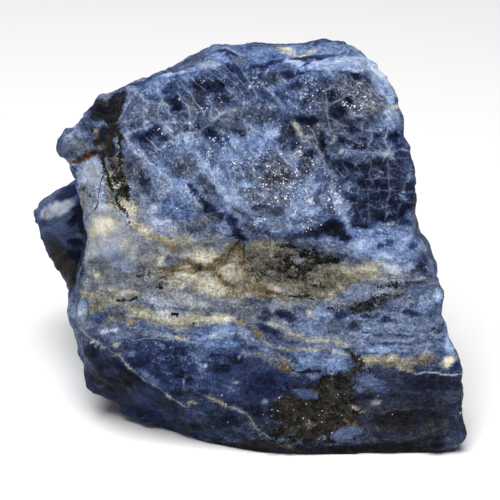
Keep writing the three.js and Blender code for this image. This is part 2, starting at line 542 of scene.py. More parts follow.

# %% [markdown]
# ## The top side and the upper face
#
# The top side is seen at a shallow angle and looks bright and streaky, with one cream vein. Its
# pale, nearly grey-free blue is painted, partly as the rock's colour and partly as painted sheen of
# the light it catches at that angle. Below its rim the face is dark blue, broken into darker cells
# by pale haze and white hairlines that run down to the right.

# %% Top side
# The pale blue rows here, up to tone 96 at the top-right rim, are partly painted sheen.
blues([
    (44, 40, -15, 38.2, 5, 1.2, 22), (42, 50, -10, 40.6, 3.4, 1, 20), (60, 20, -7, 41.9, 3, 1, 5),
    (74, 10, -4.5, 42.2, 1.6, 0.5, 5), (26, 20, -4.5, 40.9, 2.6, 0.6, -6),
    (60, 5, 1.5, 41, 3.2, 1.2), (52, 50, -2, 39.6, 2.4, 0.9), (56, 10, 4.5, 40.6, 2, 0.8),
    (60, 15, 14, 42.6, 3, 0.8), (62, 20, 18, 42, 3, 1, -8), (76, 10, -5, 39, 1.8, 0.4, -20),
    (70, 15, -9, 38, 3.4, 0.8, 8), (18, 10, 2.4, 38.3, 3, 0.45, 12),
    (16, 10, 7.2, 39.2, 2.4, 0.4, 2), (26, 20, 12.2, 40, 3.4, 0.6, 3),
    (34, 20, 18.5, 40.3, 4, 0.5, -2), (86, 0, 9.3, 38.6, 2.6, 0.7, -12),
    (76, 0, 13.4, 37.7, 3, 0.8, 2), (84, 0, 17, 38.8, 4.4, 1.2, 5), (90, 0, 22.4, 38.6, 5, 1.8),
    (60, 10, 19, 39.8, 3, 0.5, 6), (44, 15, 26, 36.8, 1.8, 0.55, -28),
    (84, 0, 26.4, 38, 2.2, 1.4, -40), (96, 0, 27.6, 34.8, 1.8, 3.4, 30),
    (70, 5, 29.2, 32, 1, 2, 25), (20, 10, 11.6, 38.2, 0.8, 0.4, 20),
    (66, 10, -13.5, 37.1, 2.2, 0.8, 15), (80, 5, -17.5, 36.2, 2.4, 0.45, 12),
    (66, 10, -22.5, 34.4, 2.4, 0.6, 22), (78, 20, -24.6, 33.5, 1, 0.6, 20),
    (40, 30, -21, 35.8, 5, 0.5, 22),
])
minerals([
    ("cream", 55, 20, 5.5, 42.6, 2.6, 0.5, -5), ("cream", 90, 90, 8, 41.9, 2.4, 0.9, -34),
    ("white", 80, 100, 9.2, 41.4, 1.6, 0.6, -40), ("cream", 90, 90, 11.6, 41.1, 2.2, 0.6, 10),
    ("white", 90, 80, 13.3, 41.6, 1.2, 0.4, 30), ("cream", 70, 40, 12.6, 42.1, 1.2, 0.3, 20),
    ("white", 80, 80, 21.9, 41.5, 0.8, 0.7, -40), ("cream", 60, 70, -8.6, 38.1, 1.2, 0.5),
    ("white", 50, 60, -2, 38.8, 1.4, 0.4, -30),
])
print("top side painted")

# %% Upper left
blues([
    (50, 5, -20, 33.4, 3.4, 2.2, 10), (34, 10, -16.6, 33.2, 1.8, 1.2, 20),
    (40, 10, -21.5, 31.5, 2, 1.2, 20), (50, 50, -23.4, 29, 2.4, 1.6), (40, 50, -25, 30.5, 1.6, 2),
    (16, 20, -26.3, 26.6, 0.7, 0.6), (34, 50, -24.6, 26, 1.6, 0.8), (48, 70, -21.4, 27.4, 1.8, 1),
    (12, 10, -14.6, 30, 1.6, 1.5), (26, 30, -16.6, 31.2, 1, 0.8), (38, 80, -12, 29.6, 1.4, 1.6),
    (34, 80, -10.4, 31.6, 2, 1.2), (12, 5, -19.6, 24.4, 2.2, 1.1, 10),
    (30, 30, -22.8, 23.6, 1.6, 1, 15), (20, 10, -17.6, 23.2, 0.8, 0.7),
    (44, 40, -20.6, 21.6, 2.4, 1.4, -20), (34, 75, -23.6, 16.8, 2.2, 3, 42),
    (40, 80, -26, 15, 1.4, 2), (60, 60, -16.6, 25.2, 1.4, 0.8), (26, 50, -21.8, 13.4, 1.8, 2, 30),
])
haze(0.74, 0.35, [(-24.2, 33.4), (-22.6, 32), (-20.8, 30.6), (-18.4, 29.8)])
haze(0.70, 0.3, [(-19.4, 34.8), (-18.8, 32.2), (-17.9, 29.9), (-15.8, 27.4), (-12.6, 24.4)])
haze(0.70, 0.3, [(-25.2, 23.7), (-22.5, 24.9), (-19.6, 25.9)], 0.6)
haze(0.74, 1.0, [(-25.5, 22.6), (-22.4, 19.8), (-19.4, 17.6), (-15.4, 14), (-13, 11.5)], 0.3)
haze(0.62, 1.0, [(-13, 27.2), (-10.5, 24), (-8.8, 21)], 0.5)
minerals([
    ("cream", 70, 60, -18.2, 29.8, 0.6, 0.5), ("cream", 45, 60, -18.9, 27.6, 1.4, 0.8, -40),
    ("cream", 45, 60, -16.8, 26.2, 0.9, 0.5, -30), ("white", 90, 90, -17, 34.8, 0.8, 0.25, 20),
    ("white", 50, 60, -16.5, 24.2, 0.7, 1, 20), ("black", 60, 40, -14.4, 25.4, 1.6, 0.5, -25),
    ("black", 65, 40, -11.4, 25.2, 1.6, 0.5, 15), ("black", 50, 40, -16.4, 23.8, 0.5, 0.9),
    # The white oval at (-19.4, 21.5) is a painted glint.
    ("cream", 90, 40, -16.2, 20.3, 0.35, 0.5), ("white", 90, 90, -19.4, 21.5, 0.3, 0.3),
])
print("upper left painted")

# %% Upper middle
blues([
    (16, 10, -8.4, 34.1, 2.8, 0.8, -8), (56, 10, -11.8, 35.7, 1.8, 0.9, 15),
    (16, 10, -6.4, 33.2, 2.6, 1.3), (14, 10, -5.6, 31.2, 1.8, 0.7, 15),
    (20, 0, -3.2, 37.2, 2.2, 0.9, -25), (28, 10, -1.2, 36, 1.6, 1.6), (46, 50, -2.6, 32, 1.8, 1.4),
    (24, 10, 1.6, 33, 1.8, 1), (28, 0, 4.8, 31.4, 2.6, 1.5), (36, 70, 5, 35.2, 2, 1.2),
    (8, 5, 8.1, 36.1, 1.3, 0.9, -20), (24, 20, 9.6, 33.8, 1.2, 0.9), (28, 10, 12, 36, 1.4, 0.8),
    (36, 50, 12.4, 31.4, 2.6, 1.2), (54, 20, 9.4, 31.8, 1.4, 1), (36, 80, 15.8, 33, 1, 2.4),
    (52, 70, -5, 28.6, 4, 1), (50, 50, 2, 29.8, 4, 0.8), (52, 65, -9, 26.8, 3, 1, -15),
    (32, 85, -2.4, 26, 2.2, 1.8), (16, 0, -8, 24, 1.7, 1.1, -10), (20, 0, -5.4, 22.6, 2, 1.3, -20),
    (60, 0, 2.4, 22.8, 3, 2.2), (64, 10, -4.4, 20, 2.2, 1, -20), (58, 10, -13.4, 22.4, 1.4, 2, 35),
    (30, 80, 8, 24.6, 1.6, 1.4), (32, 50, 6.6, 22.2, 1, 1.6, 20), (8, 10, 12.4, 27, 2.6, 0.8, -14),
    (32, 90, 13, 24.8, 1.4, 1.2), (10, 15, 14.8, 22.2, 0.9, 2.3), (34, 70, 11.6, 18, 1.6, 2.6),
    (36, 80, 5.2, 17.4, 2.6, 2.2), (20, 10, 2, 17.2, 0.7, 0.6), (66, 20, 8.8, 17.6, 0.9, 2.4),
    (40, 85, -13.4, 17, 2.2, 2.2), (26, 20, -12, 18.2, 0.7, 1.2),
])
haze(0.72, 0.7, [(-10.4, 18.6), (-8.4, 15.6), (-6, 13), (-3.4, 11.4)], 0.15)
haze(0.64, 0.5, [(-7.5, 26), (-5.2, 22.6), (-3.4, 19)], 0.3)
haze(0.60, 0.45, [(10.8, 24.2), (12.5, 22), (14, 19.5), (16, 15.5), (18.2, 10), (20, 6)], 0.4)
haze(0.60, 0.5, [(6, 20.8), (8.6, 19.6)], 0.3)
minerals([
    ("olive", 75, 30, -1.2, 28.6, 3.4, 0.3, 3), ("olive", 60, 30, 2.8, 28.3, 1.6, 0.25, -12),
    ("cream", 50, 60, 1.4, 27.7, 1.6, 0.35), ("cream", 100, 85, 9.6, 25.8, 0.55, 1.2, 38),
    ("cream", 80, 60, 10.6, 24.4, 0.5, 0.7, 30), ("white", 60, 50, 11.8, 23, 0.5, 0.7, 35),
    # The small white ovals at (10.4, 19.8) and (-3.4, 16.6) are painted glints.
    ("cream", 45, 60, -8.8, 19.6, 0.9, 0.6), ("white", 100, 100, 10.4, 19.8, 0.5, 0.35),
    ("white", 100, 100, -3.4, 16.6, 0.35, 0.35), ("cream", 50, 50, 16, 25.1, 3.2, 0.3, 3),
])
print("upper middle painted")

# %% Upper right
blues([
    (7, 10, 22.1, 35.7, 1.3, 0.9), (10, 20, 17, 31.4, 1.1, 1.7), (4, 10, 17.6, 28.3, 1.8, 1.6),
    (12, 60, 20.2, 31, 0.8, 1), (56, 85, 23.5, 33, 2, 1, -30), (54, 95, 24.6, 29.4, 2.4, 1.2),
    (52, 90, 20.6, 28.6, 1.2, 1.2), (20, 30, 22.4, 27.3, 1.1, 0.6),
    (66, 30, 26.4, 34.2, 1.2, 1.8, 25), (12, 10, 19.6, 22.8, 2, 0.6, -20),
    (10, 20, 22.7, 21.5, 1.4, 0.4, -6), (14, 20, 20.9, 25, 1.8, 0.4, -18),
    (52, 40, 23.8, 24.2, 1.2, 2), (50, 50, 19.2, 24.2, 1, 0.6), (18, 5, 25.7, 23.8, 0.9, 0.9),
    (22, 5, 26.2, 25.7, 1.1, 0.5), (16, 10, 29.7, 23.6, 1, 1.4), (24, 15, 31.4, 20.9, 1.6, 1.2),
    (58, 30, 27.6, 27.4, 2, 1, -20), (60, 20, 29.4, 27.8, 1, 1.6),
    (14, 15, 19.2, 18, 2.2, 1.2, -18), (12, 20, 22.6, 17.4, 1.2, 0.8),
    (52, 40, 21, 19.9, 2.4, 0.5), (50, 40, 16.6, 23.2, 0.9, 1.6), (46, 20, 31, 26, 1, 1.6),
    (34, 20, 33, 17.6, 1, 2.6, 5),
])
minerals([
    ("cream", 35, 40, 25, 29.4, 2.4, 0.6), ("white", 90, 70, 28.6, 30, 2, 0.3),
    ("white", 80, 60, 28.3, 20.1, 0.9, 0.5), ("white", 70, 60, 28.2, 20, 0.35, 0.9, 20),
    # The white oval at (18.8, 20.8) is a painted glint.
    ("white", 90, 90, 18.8, 20.8, 0.35, 0.3),
])
lines([
    ("white", 0.09, 0.36, [(-12.6, 36.2), (-9.5, 33)]),
    ("white", 0.09, 0.24, [(-11.2, 37.4), (-8.2, 35)]),
    ("white", 0.09, 0.33, [(-9.2, 37.6), (-5.6, 34.4), (-3, 32)]),
    ("white", 0.09, 0.29, [(-7.2, 38), (-4, 35), (-1.4, 32.2)]),
    ("white", 0.09, 0.26, [(-5.4, 38), (-3, 35.8), (-0.6, 33.2)]),
    ("white", 0.09, 0.22, [(-2.6, 38.2), (-0.4, 36.2)]),
    ("white", 0.09, 0.48, [(-12.4, 32.4), (-11, 30.8), (-9.6, 28.8)]),
    ("white", 0.09, 0.29, [(-20.6, 22.6), (-18.2, 20.6)]),
    ("white", 0.09, 0.22, [(-14.4, 28.2), (-11.4, 25.2)]),
    ("white", 0.09, 0.24, [(17, 33.8), (20, 31.6), (23, 29.6)]),
    ("white", 0.09, 0.19, [(16, 36.4), (19, 33.4)]),
    ("white", 0.09, 0.22, [(18.6, 35.8), (21.5, 32.6), (24.6, 30.4)]),
    ("white", 0.09, 0.24, [(16, 20.5), (20, 20.2), (24, 19.8), (27, 19.9)]),
    ("white", 0.09, 0.22, [(25.6, 21), (27.6, 20.4), (29.6, 18.4)]),
])
ledge("upper ledge", 0.9, 2.5, [
    (-5, 27.3), (-2, 29), (1, 28.8), (4, 28.3), (7, 28.2), (10, 26), (12, 23),
])
print("upper right painted")

# %% [markdown]
# ## The glittering middle and the dark right side
#
# The middle of the face is a granular violet grey that glitters: each grain is a tiny mirror. To
# its right the rock is nearly black, and a grid of fine pale veins runs through it.

# %% Middle
blues([
    (66, 25, -14, 12, 2.2, 2.8), (48, 0, -14.6, 8.6, 2.4, 2), (34, 65, -9.2, 13.4, 2.6, 1.3, -50),
    (62, 20, -6.4, 14.4, 1.2, 1.6, -40), (88, 20, -4.2, 11.7, 2.8, 1.5, -25),
    (68, 30, -1.6, 9.4, 2, 0.9, -35), (8, 15, -8.7, 8.8, 2, 1.1, -35),
    (12, 30, -6.4, 7, 1.2, 0.6, -35), (10, 15, -3.6, 6, 1.5, 1, -40),
    (7, 20, -2.4, 3.4, 1.8, 1, -40), (50, 100, -9.8, 6.6, 1.6, 0.7, -35),
    (40, 90, -2.2, 8.2, 2, 0.7, -30), (34, 95, 0.2, 5, 2, 0.6, -38), (34, 70, -12.4, 4.4, 3, 0.8),
    (46, 90, -8.6, 3.4, 2.2, 0.8), (30, 80, 3.4, 3.8, 1.4, 0.5, -20), (50, 60, 3, 13, 5, 5),
    (34, 85, 4.4, 14.6, 2, 1.3), (36, 80, 7.2, 15.2, 1.6, 1.4), (30, 80, 2, 9, 1.8, 0.7),
    (34, 80, 5.6, 8.2, 1.6, 1), (64, 30, 10, 8.6, 2.6, 1.8), (66, 35, 12.4, 12.6, 1.8, 1.8),
    (48, 30, 14.6, 10.4, 1.4, 2.6), (72, 30, 5.4, 4.6, 1.3, 0.9), (56, 10, 9, 4.6, 2.4, 1),
    (42, 40, 16, 13.4, 1.2, 2, 30), (24, 40, 9, 2.6, 2.2, 0.5), (2, 10, 13.6, 3.6, 3.8, 1, 12),
    (5, 10, 17.4, 3.5, 2.4, 0.9, 6), (0, 10, 16.8, 4.8, 2.8, 1.4, 10),
])
print("middle painted")

# %% Right side
blues([
    (64, 20, 18.7, 11, 0.8, 2, 18), (60, 10, 19.9, 8.9, 1.2, 1.4), (46, 40, 20.6, 13.4, 1.4, 0.9),
    (42, 20, 23.6, 11.2, 1.2, 1), (16, 10, 21.8, 11, 0.9, 0.8), (10, 25, 27, 15.6, 4, 1.8),
    (8, 20, 30, 10.2, 3.2, 2.8), (9, 20, 26.6, 10, 1.6, 1.6), (10, 10, 26.4, 7.2, 1.2, 1.2),
    (14, 20, 22.6, 8.2, 1.4, 1.6), (50, 5, 33.4, 7.6, 1.2, 1), (60, 0, 34.4, 5.8, 0.8, 1.6),
    (30, 10, 32.6, 5.6, 1.2, 0.8), (8, 5, 23, 4.6, 2, 0.7), (10, 5, 19.4, 2.6, 1.3, 0.8),
    (60, 30, 15.4, 0.8, 1.4, 0.8), (84, 0, 24, 1, 1.9, 1.3), (55, 0, 22, 3.2, 1.4, 0.9),
    (54, 0, 27, 3.2, 1.6, 0.9), (30, 10, 27.2, 1.1, 0.9, 0.5), (34, 10, 29, 1.7, 0.9, 0.6),
    (72, 0, 31, 0.4, 1.4, 0.6), (78, 20, 32.4, 2.6, 0.9, 0.4, 30), (34, 0, 33.6, 1, 1.4, 0.6, 10),
    (74, 0, 36, 0.6, 0.9, 1.4, 25), (78, 0, 28, -1, 3, 0.7), (68, 10, 31.4, -1.8, 1.8, 0.8),
    (60, 40, 20.4, 0.6, 1.4, 0.8), (50, 60, 21.6, -1.6, 2.2, 0.8, -20),
    (76, 10, 26.4, -2.2, 1.2, 0.5, -10), (30, 40, 36, -3.6, 1.4, 1.8),
    (32, 50, 33.6, -4, 1.6, 0.8), (60, 10, 38, -3.6, 0.8, 1.4), (70, 20, 29.4, -4.4, 2, 0.6, -8),
])
haze(0.62, 0.7, [(17, 14), (18.2, 11.4), (19.4, 8.6), (20.4, 5.6)], 0.3)
minerals([
    # The white ovals at (12.3, 10.3) and (1.6, 6.3) are painted glints; the one at (28.8, 5.5) is a
    # white lump.
    ("white", 85, 60, 28.8, 5.5, 0.9, 0.5, 10), ("white", 80, 100, 12.3, 10.3, 0.6, 0.4),
    ("white", 70, 100, 1.6, 6.3, 0.5, 0.3, 20),
])
dabs("net", [(72, 26, 11, 9, 8)])
blend_in("net", 0.6, 0.9 * stroke(21, 30, 6, 5))
print("right side painted")

# %% [markdown]
# ## Pale veins
#
# Healed cracks run through the whole upper face. Each is a pale line with a soft glow, because
# sodalite lets some light in beside it. They divide the dark blue into cells, like lead lines in a
# glass window, so they are drawn last here, one by one.

# %% Pale cells between the veins
blues([
    (5, 20, 17.3, 28.7, 1.7, 1.7), (8, 10, 12, 26.9, 2.4, 1, -15), (10, 20, 16.2, 31.9, 0.6, 1),
    (12, 10, 20.5, 24.9, 1.5, 0.4, -22), (12, 10, 19, 22.9, 1.6, 0.5, -25),
    (12, 30, 23.2, 22.9, 0.8, 0.3), (10, 30, 22.6, 21.6, 1.3, 0.4), (14, 10, 25.7, 23.5, 0.7, 0.9),
    (12, 10, 29.4, 23.6, 0.8, 1.3), (8, 60, 14.9, 22.2, 0.7, 1.8, 8),
    (30, 50, 26.4, 16.2, 2.4, 0.6, -12), (24, 30, 30.8, 13.6, 1.6, 0.8, 10),
    (22, 50, 27.6, 9.6, 1.4, 1), (28, 20, 32.6, 10.8, 1, 1.2), (24, 30, 24, 7.4, 0.8, 1.2),
    (34, 40, 21, 14.8, 1.4, 0.7, -30), (4, 20, 29, 7, 2.6, 1), (5, 20, 25.4, 13.6, 1.2, 0.8),
    (5, 20, 30.4, 16.4, 1.2, 0.6), (36, 40, 23, 18.6, 1.2, 0.5, -20),
    (6, 10, 10.6, 36.4, 0.8, 0.6), (10, 10, -21.4, 23, 1.4, 0.7),
    (34, 40, -14, 27.2, 1.2, 0.7, -20), (12, 10, -10.6, 33.6, 1, 0.7),
    (10, 30, -1.8, 24.2, 1, 0.5), (12, 30, -12, 12.4, 1.6, 0.6, -45),
    (12, 30, -10.4, 10.6, 1, 0.6, -40), (14, 40, 9.2, 21.6, 0.8, 0.9),
    (12, 50, 12.6, 20.2, 0.7, 1), (10, 30, 15.6, 19.4, 0.6, 0.9), (72, 0, -2.6, 22, 1.6, 0.9, -30),
    (70, 0, 5.2, 24.4, 1.4, 0.8), (72, 10, -0.6, 13.6, 1.2, 0.8), (74, 0, 13, 8.2, 1.4, 1),
    (76, 10, -14.8, 13.6, 1.4, 1.2), (54, 20, 13.4, 35.9, 2.8, 0.8), (54, 50, -6.4, 26, 3.2, 1),
    (50, 60, -1.4, 25.8, 2.2, 1.2), (52, 60, 0.6, 28, 3.2, 1), (50, 40, 12.6, 29, 2.2, 0.7),
    (60, 30, 25.8, 25.6, 1.6, 0.9), (52, 50, 22.4, 26, 1.4, 0.7), (60, 20, 28.9, 25.6, 1.3, 1.2),
    (46, 40, 24.8, 22.3, 1.5, 0.5), (48, 40, 18.6, 21.9, 1.3, 0.6), (42, 50, 24.4, 19, 2.2, 0.6),
    (50, 50, 22, 12.7, 1.2, 1.2), (40, 50, 22.6, 15.5, 1.1, 0.7), (28, 30, 25.8, 12.4, 1.6, 0.6),
    (28, 20, 22, 5.8, 1.4, 0.9), (50, 70, -23.4, 12.2, 1.2, 2.2, 30),
    (52, 90, -11, 5.7, 2, 0.9, -10), (56, 80, -11.4, 8.9, 1.5, 1.1), (62, 60, -18, 12, 1.8, 1.4),
    (60, 60, -18.2, 8.9, 1.6, 1.1), (50, 30, -8.4, 15.8, 1.6, 1.2, -40),
    (40, 50, -11.2, 18.9, 1.8, 1.2), (74, 20, 28.6, 28.7, 1.3, 0.9),
    (34, 80, -7.6, 6.2, 1.6, 0.8, -30), (60, 70, 5.8, 5, 2, 0.7),
    (7, 10, 19.8, 18.2, 1.8, 0.8, -25), (10, 20, 22.3, 16.9, 1.2, 0.6, 10),
    (8, 20, 18.6, 16.2, 0.8, 0.7, -30), (10, 60, 27.4, 18.4, 1.6, 1),
    (18, 20, 21.3, 10.8, 0.8, 0.8),
])
print("pale cells painted")

# %% Pale veins of the upper left
veins(
    tone=0.58, half_wide=0.15, strength=0.42, glow=0.6, grey=0.35,
    paths=[
        [(-25.6, 33.8), (-23.6, 32.4), (-22.2, 31.2), (-20.2, 30.1), (-18.2, 30)],
        [(-19.6, 34.4), (-18.8, 32.2), (-18.2, 30.4), (-17.6, 29.2)],
        [(-25.2, 24.1), (-23.2, 24.7), (-20.8, 25.6)],
        [(-25.2, 22.8), (-23.6, 20.8), (-21.8, 19.6), (-20.6, 18.4)],
        [(-7.8, 26.6), (-5.8, 28), (-3.6, 28.6)], [(-20.6, 18.4), (-18, 16), (-15.4, 13.8)],
        [(5.6, 22), (6.8, 19.6), (8.6, 17)],
    ],
)
veins(
    tone=0.52, half_wide=0.12, strength=0.34, glow=0.5, grey=0.4,
    paths=[
        [(-22.2, 31.2), (-21.7, 29.6)], [(-17.6, 29.2), (-16.2, 27.6), (-15, 26.6), (-13.8, 25.3)],
        [(-21.4, 27.8), (-18.8, 27)], [(-19.6, 22), (-17.8, 20.4)],
        [(-16.2, 24), (-17.2, 25.2), (-18.4, 26.4)], [(-13.4, 33.2), (-12, 32.2), (-11.4, 31.2)],
        [(-8.6, 30.6), (-7.6, 29.2), (-8.2, 28)], [(-4.8, 33), (-3.4, 31.4), (-2, 30.4)],
        [(-27, 26), (-24, 26.6), (-21.6, 27.8)], [(-23.6, 32.4), (-25.4, 29.6), (-26.6, 27)],
        [(-14.4, 31.8), (-12.8, 29.4), (-12.2, 27)], [(-1, 36.4), (0.6, 34.2), (1.4, 32)],
        [(2.4, 33.6), (5, 32.2), (6.4, 30)], [(-11.8, 24.4), (-9.6, 25), (-7.4, 26.6)],
        [(-2, 27), (0.6, 25.6), (2.4, 23)],
    ],
)
print("upper left veined")

# %% Pale veins of the middle and the upper right
veins(
    tone=0.7, half_wide=0.2, strength=0.35, glow=1.0, grey=0.2,
    paths=[
        [(-13.4, 23.8), (-11.8, 20.4), (-10.2, 18.2), (-8.2, 16.2)],
        [(-8.2, 16.2), (-6.4, 13.8), (-3.4, 11.4)],
        [(22.6, 38.2), (25.2, 36.6), (27, 34.2), (28.8, 31.4)],
        [(15.6, 37.6), (20, 38.4), (24, 38.2)],
        [(17.4, 12.2), (18.6, 10.6), (19.2, 8.4), (20.2, 5.6)],
    ],
)
veins(
    tone=0.44, half_wide=0.13, strength=0.3, glow=0.5, grey=0.75,
    paths=[
        [(15.6, 32.8), (17, 33.6), (18.6, 33.2), (20.4, 32), (23.2, 30)],
        [(17.4, 33.4), (17.8, 31.6), (19.2, 30.2), (20.6, 28.4)],
        [(14.6, 30.4), (16.2, 30.4), (17.8, 30.7)], [(15.4, 32.6), (15.7, 29.2)],
        [(13.6, 28.7), (15.4, 29), (16.2, 27.2), (17.8, 26.2), (19.4, 25.6)],
        [(17.8, 24.4), (19.8, 23.8), (21.6, 22.6)], [(16.2, 26.8), (17.2, 24.2), (17.6, 22)],
        [(21, 35.6), (23, 33), (25.4, 31.4)],
        [(13.2, 24.4), (14.2, 21.2), (15.4, 18.2), (16.6, 15.2), (18, 12.2)],
        [(24.2, 34.4), (25.6, 32.4), (28, 30.6)], [(19.8, 35.6), (19.4, 33.4)],
    ],
)
print("middle veined")

# %% Fine veins of the right side
veins(
    tone=0.54, half_wide=0.15, strength=0.38, glow=0.55, grey=0.35,
    paths=[
        [(20.8, 28), (22.8, 27.8), (24.6, 26.2), (25, 24), (24.6, 21.6)],
        [(25.2, 26.2), (27, 25.8), (28.6, 26.4)], [(24.6, 24.8), (26.8, 24.8)],
        [(28.6, 25.2), (27.6, 23), (28.4, 21)],
        [(19.4, 20.8), (22, 20.5), (24.6, 20.3), (27.4, 20.3)], [(27.2, 21.2), (29.6, 19.2)],
        [(27.9, 19.2), (28.9, 21.8)], [(29, 20.2), (31.4, 20.8), (33, 20.2)],
        [(29.6, 29.4), (30.8, 27)],
    ],
)
veins(
    tone=0.26, half_wide=0.11, strength=0.13, glow=0.34, grey=0.4,
    paths=[
        [(18.4, 19.6), (20.2, 18.6), (21.6, 18), (23.2, 18.6)],
        [(19.6, 17.6), (20.6, 16.8), (21, 15.4)], [(25.4, 19), (25, 16.4), (25.3, 14.6)],
        [(17.4, 17.6), (19.2, 15.2)], [(22.6, 19.8), (21.8, 17.6), (23.4, 16)],
        [(26.4, 16.8), (28.4, 16), (29.6, 16.9), (31.4, 16.4)],
        [(30, 19.6), (31.4, 18.8), (33.4, 18.6)], [(30.6, 17.6), (33, 16.2)],
        [(28.4, 19), (28.8, 16.8), (29, 15)], [(20.2, 12.9), (22, 12.5), (24, 12.5)],
        [(24, 12.5), (27, 12.3), (30, 12.2), (34.6, 12.2)], [(24.4, 15), (27, 15.1), (30, 14.9)],
        [(28.9, 15), (29, 12.6), (28.5, 10), (28.2, 7)],
        [(32.6, 15), (31.7, 12.2), (31.2, 9.6), (30.2, 6.6)],
        [(24.9, 12.4), (24.8, 9.4), (24.5, 6.2)], [(22.7, 12.2), (22.7, 9), (23.5, 5.8)],
        [(21.4, 15.6), (22.4, 13.6), (22.7, 12.2)], [(25, 8.9), (27, 8.2), (28.4, 8.6)],
        [(31.4, 10.4), (33, 9.6), (34.4, 10)],
    ],
)
minerals([
    # The white oval at (18.8, 20.8) is a painted glint.
    ("white", 90, 100, 18.8, 20.8, 0.5, 0.4), ("white", 90, 75, 28.4, 20.3, 0.7, 0.5, -20),
    ("white", 80, 70, 17.6, 23.2, 0.6, 0.6), ("white", 80, 80, 27.2, 25.3, 0.4, 0.3),
    ("cream", 80, 80, 29.6, 29.8, 1.8, 0.4, 4),
])
print("pale veins painted")

# %% [markdown]
# ## The left edge: crack band, pale facets and the spur
#
# A sooty crack with a rusty vein runs down the left side. The facets beside it are pale lavender
# and grey, with one cream eye ringed by white. The spur behind them lies in shade, and only its top
# facet is light: both are painted, the top facet as a painted highlight and the rest of the spur as
# painted shade.

# %% Left edge, its ground
minerals([
    ("cream", 66, 46, -29, -3, 8, 9), ("cream", 55, 48, -33, 12, 4, 5),
    ("cream", 65, 50, -27, 9.4, 5.4, 3.4, -40), ("cream", 45, 10, -28, 16, 2.4, 6),
    ("white", 80, 50, -30, -1, 6.5, 5), ("cream", 30, 50, -30, -4, 5, 3),
    ("white", 75, 62, -24, 1.6, 3.4, 2.2), ("white", 70, 30, -21, -3, 6, 5),
    ("white", 50, 30, -24, -4.5, 5, 3), ("white", 50, 34, -26, -6.4, 8, 3),
    ("cream", 55, 25, -28, -13.2, 9, 2.4), ("olive", 60, -10, -37.5, -4, 1.8, 3, -25),
    ("olive", 60, -10, -29.6, 23, 3.2, 2.4), ("olive", 50, -40, -28, 28, 1.4, 4),
    ("cream", 60, 30, -28, 15.4, 1.8, 5, 12),
])
blues([
    (56, 70, -30.4, 32.4, 2.4, 0.8, 25), (60, 80, -29.4, 31.4, 1.6, 0.9),
    (44, 70, -32.6, 29.4, 1.8, 1, 35), (10, 50, -30.6, 29, 2.6, 1.3, -12),
    (8, 50, -28, 28.6, 1.3, 2.2), (10, 40, -27, 31.6, 1.1, 1.8),
    (14, 60, -29.5, 26.2, 2.4, 1.2, -30), (14, 80, -29.8, 23.8, 1.8, 2),
    (14, 80, -29, 21, 1.4, 1.8), (18, 60, -30, 27.4, 2.2, 0.7), (52, 40, -32, 26.1, 2.2, 0.7),
    (40, 40, -33.6, 27.4, 1, 0.8, 30), (60, 50, -36.8, 24, 2.8, 1.4, 10),
    (76, 30, -37.2, 24.6, 1.6, 0.4, 25), (48, 70, -36.6, 22, 2.2, 1.8),
    (58, 80, -33.8, 22, 1.6, 0.8, 20), (40, 60, -37.2, 20.6, 1, 1),
    (60, 80, -27.4, 22.4, 0.7, 1.4, 10), (40, 90, -28.4, 17.2, 1, 1),
    (80, 75, -33.6, 16.2, 2.8, 3.2), (68, 90, -37.8, 18.6, 1.4, 1.1),
    (84, 20, -32.4, 18.2, 1, 0.7), (80, 50, -34.6, 17.6, 1.2, 0.8),
    (62, 95, -34.6, 11.4, 1.6, 2.6), (74, 45, -31.4, 12, 1.4, 2.8),
    (52, 90, -28.4, 11.6, 1.2, 1.8), (90, 50, -31, 8.9, 1.8, 0.8),
    (72, 70, -25.4, 6.2, 2.2, 1.6, -30), (72, 35, -30, 2.4, 3, 1),
    (78, 75, -29.6, 1.6, 3.8, 2.4, -30), (76, 50, -27.8, 0.2, 2.2, 3, 20),
    (74, 90, -32.4, 0, 2, 3.2), (66, 40, -26.4, -2.4, 2.8, 1.8, -35),
    (54, 90, -31.6, -3, 2.4, 1.4), (72, 40, -18.4, 5.6, 3, 1.6, -10),
    (76, 50, -19.4, 8.6, 1.6, 1, 30), (50, 0, -16.4, 9.2, 2.4, 2.2),
    # From the second oval on, most rows paint the spur and the face's left rim: the light rows near
    # (-43, 9) are its painted highlight, and the dark rows at its right, its lower part and along the
    # rim are painted shade.
    (62, 75, -23.6, 1.6, 2.6, 1.8), (47, 45, -40.6, 3, 4, 8, 20), (22, 20, -40, 12.6, 3.4, 1, 28),
    (46, 50, -42.4, 6.2, 1.8, 0.7, 20), (86, 70, -42.5, 9.2, 4, 1.3, 25),
    (80, 80, -44.2, 7.9, 1.3, 1, 20), (46, 25, -39.8, 5.2, 1.8, 1.4, 20),
    (14, 30, -38, 7.4, 2.6, 1, 45), (42, 30, -40.4, 3.2, 1.8, 1), (12, 10, -38.4, 1.4, 1.8, 1.2),
    (28, 90, -41.4, -2.6, 6.4, 1.8, -62), (46, 90, -41.8, 3, 1.4, 0.5, 50),
    (38, 20, -38.4, 4.4, 1.6, 1), (14, 40, -36.8, 6, 1.2, 3.6, 12), (16, 30, -37.8, 9.2, 1.3, 1.4),
    (6, 30, -38.6, -1.2, 2, 1.2), (20, 100, -38.2, -4.2, 2.2, 1.8, -50),
    (8, 90, -38.2, -6.2, 1.4, 1.6, -30), (26, 70, -35.8, -1, 0.7, 5),
])
print("ground of the left edge painted")

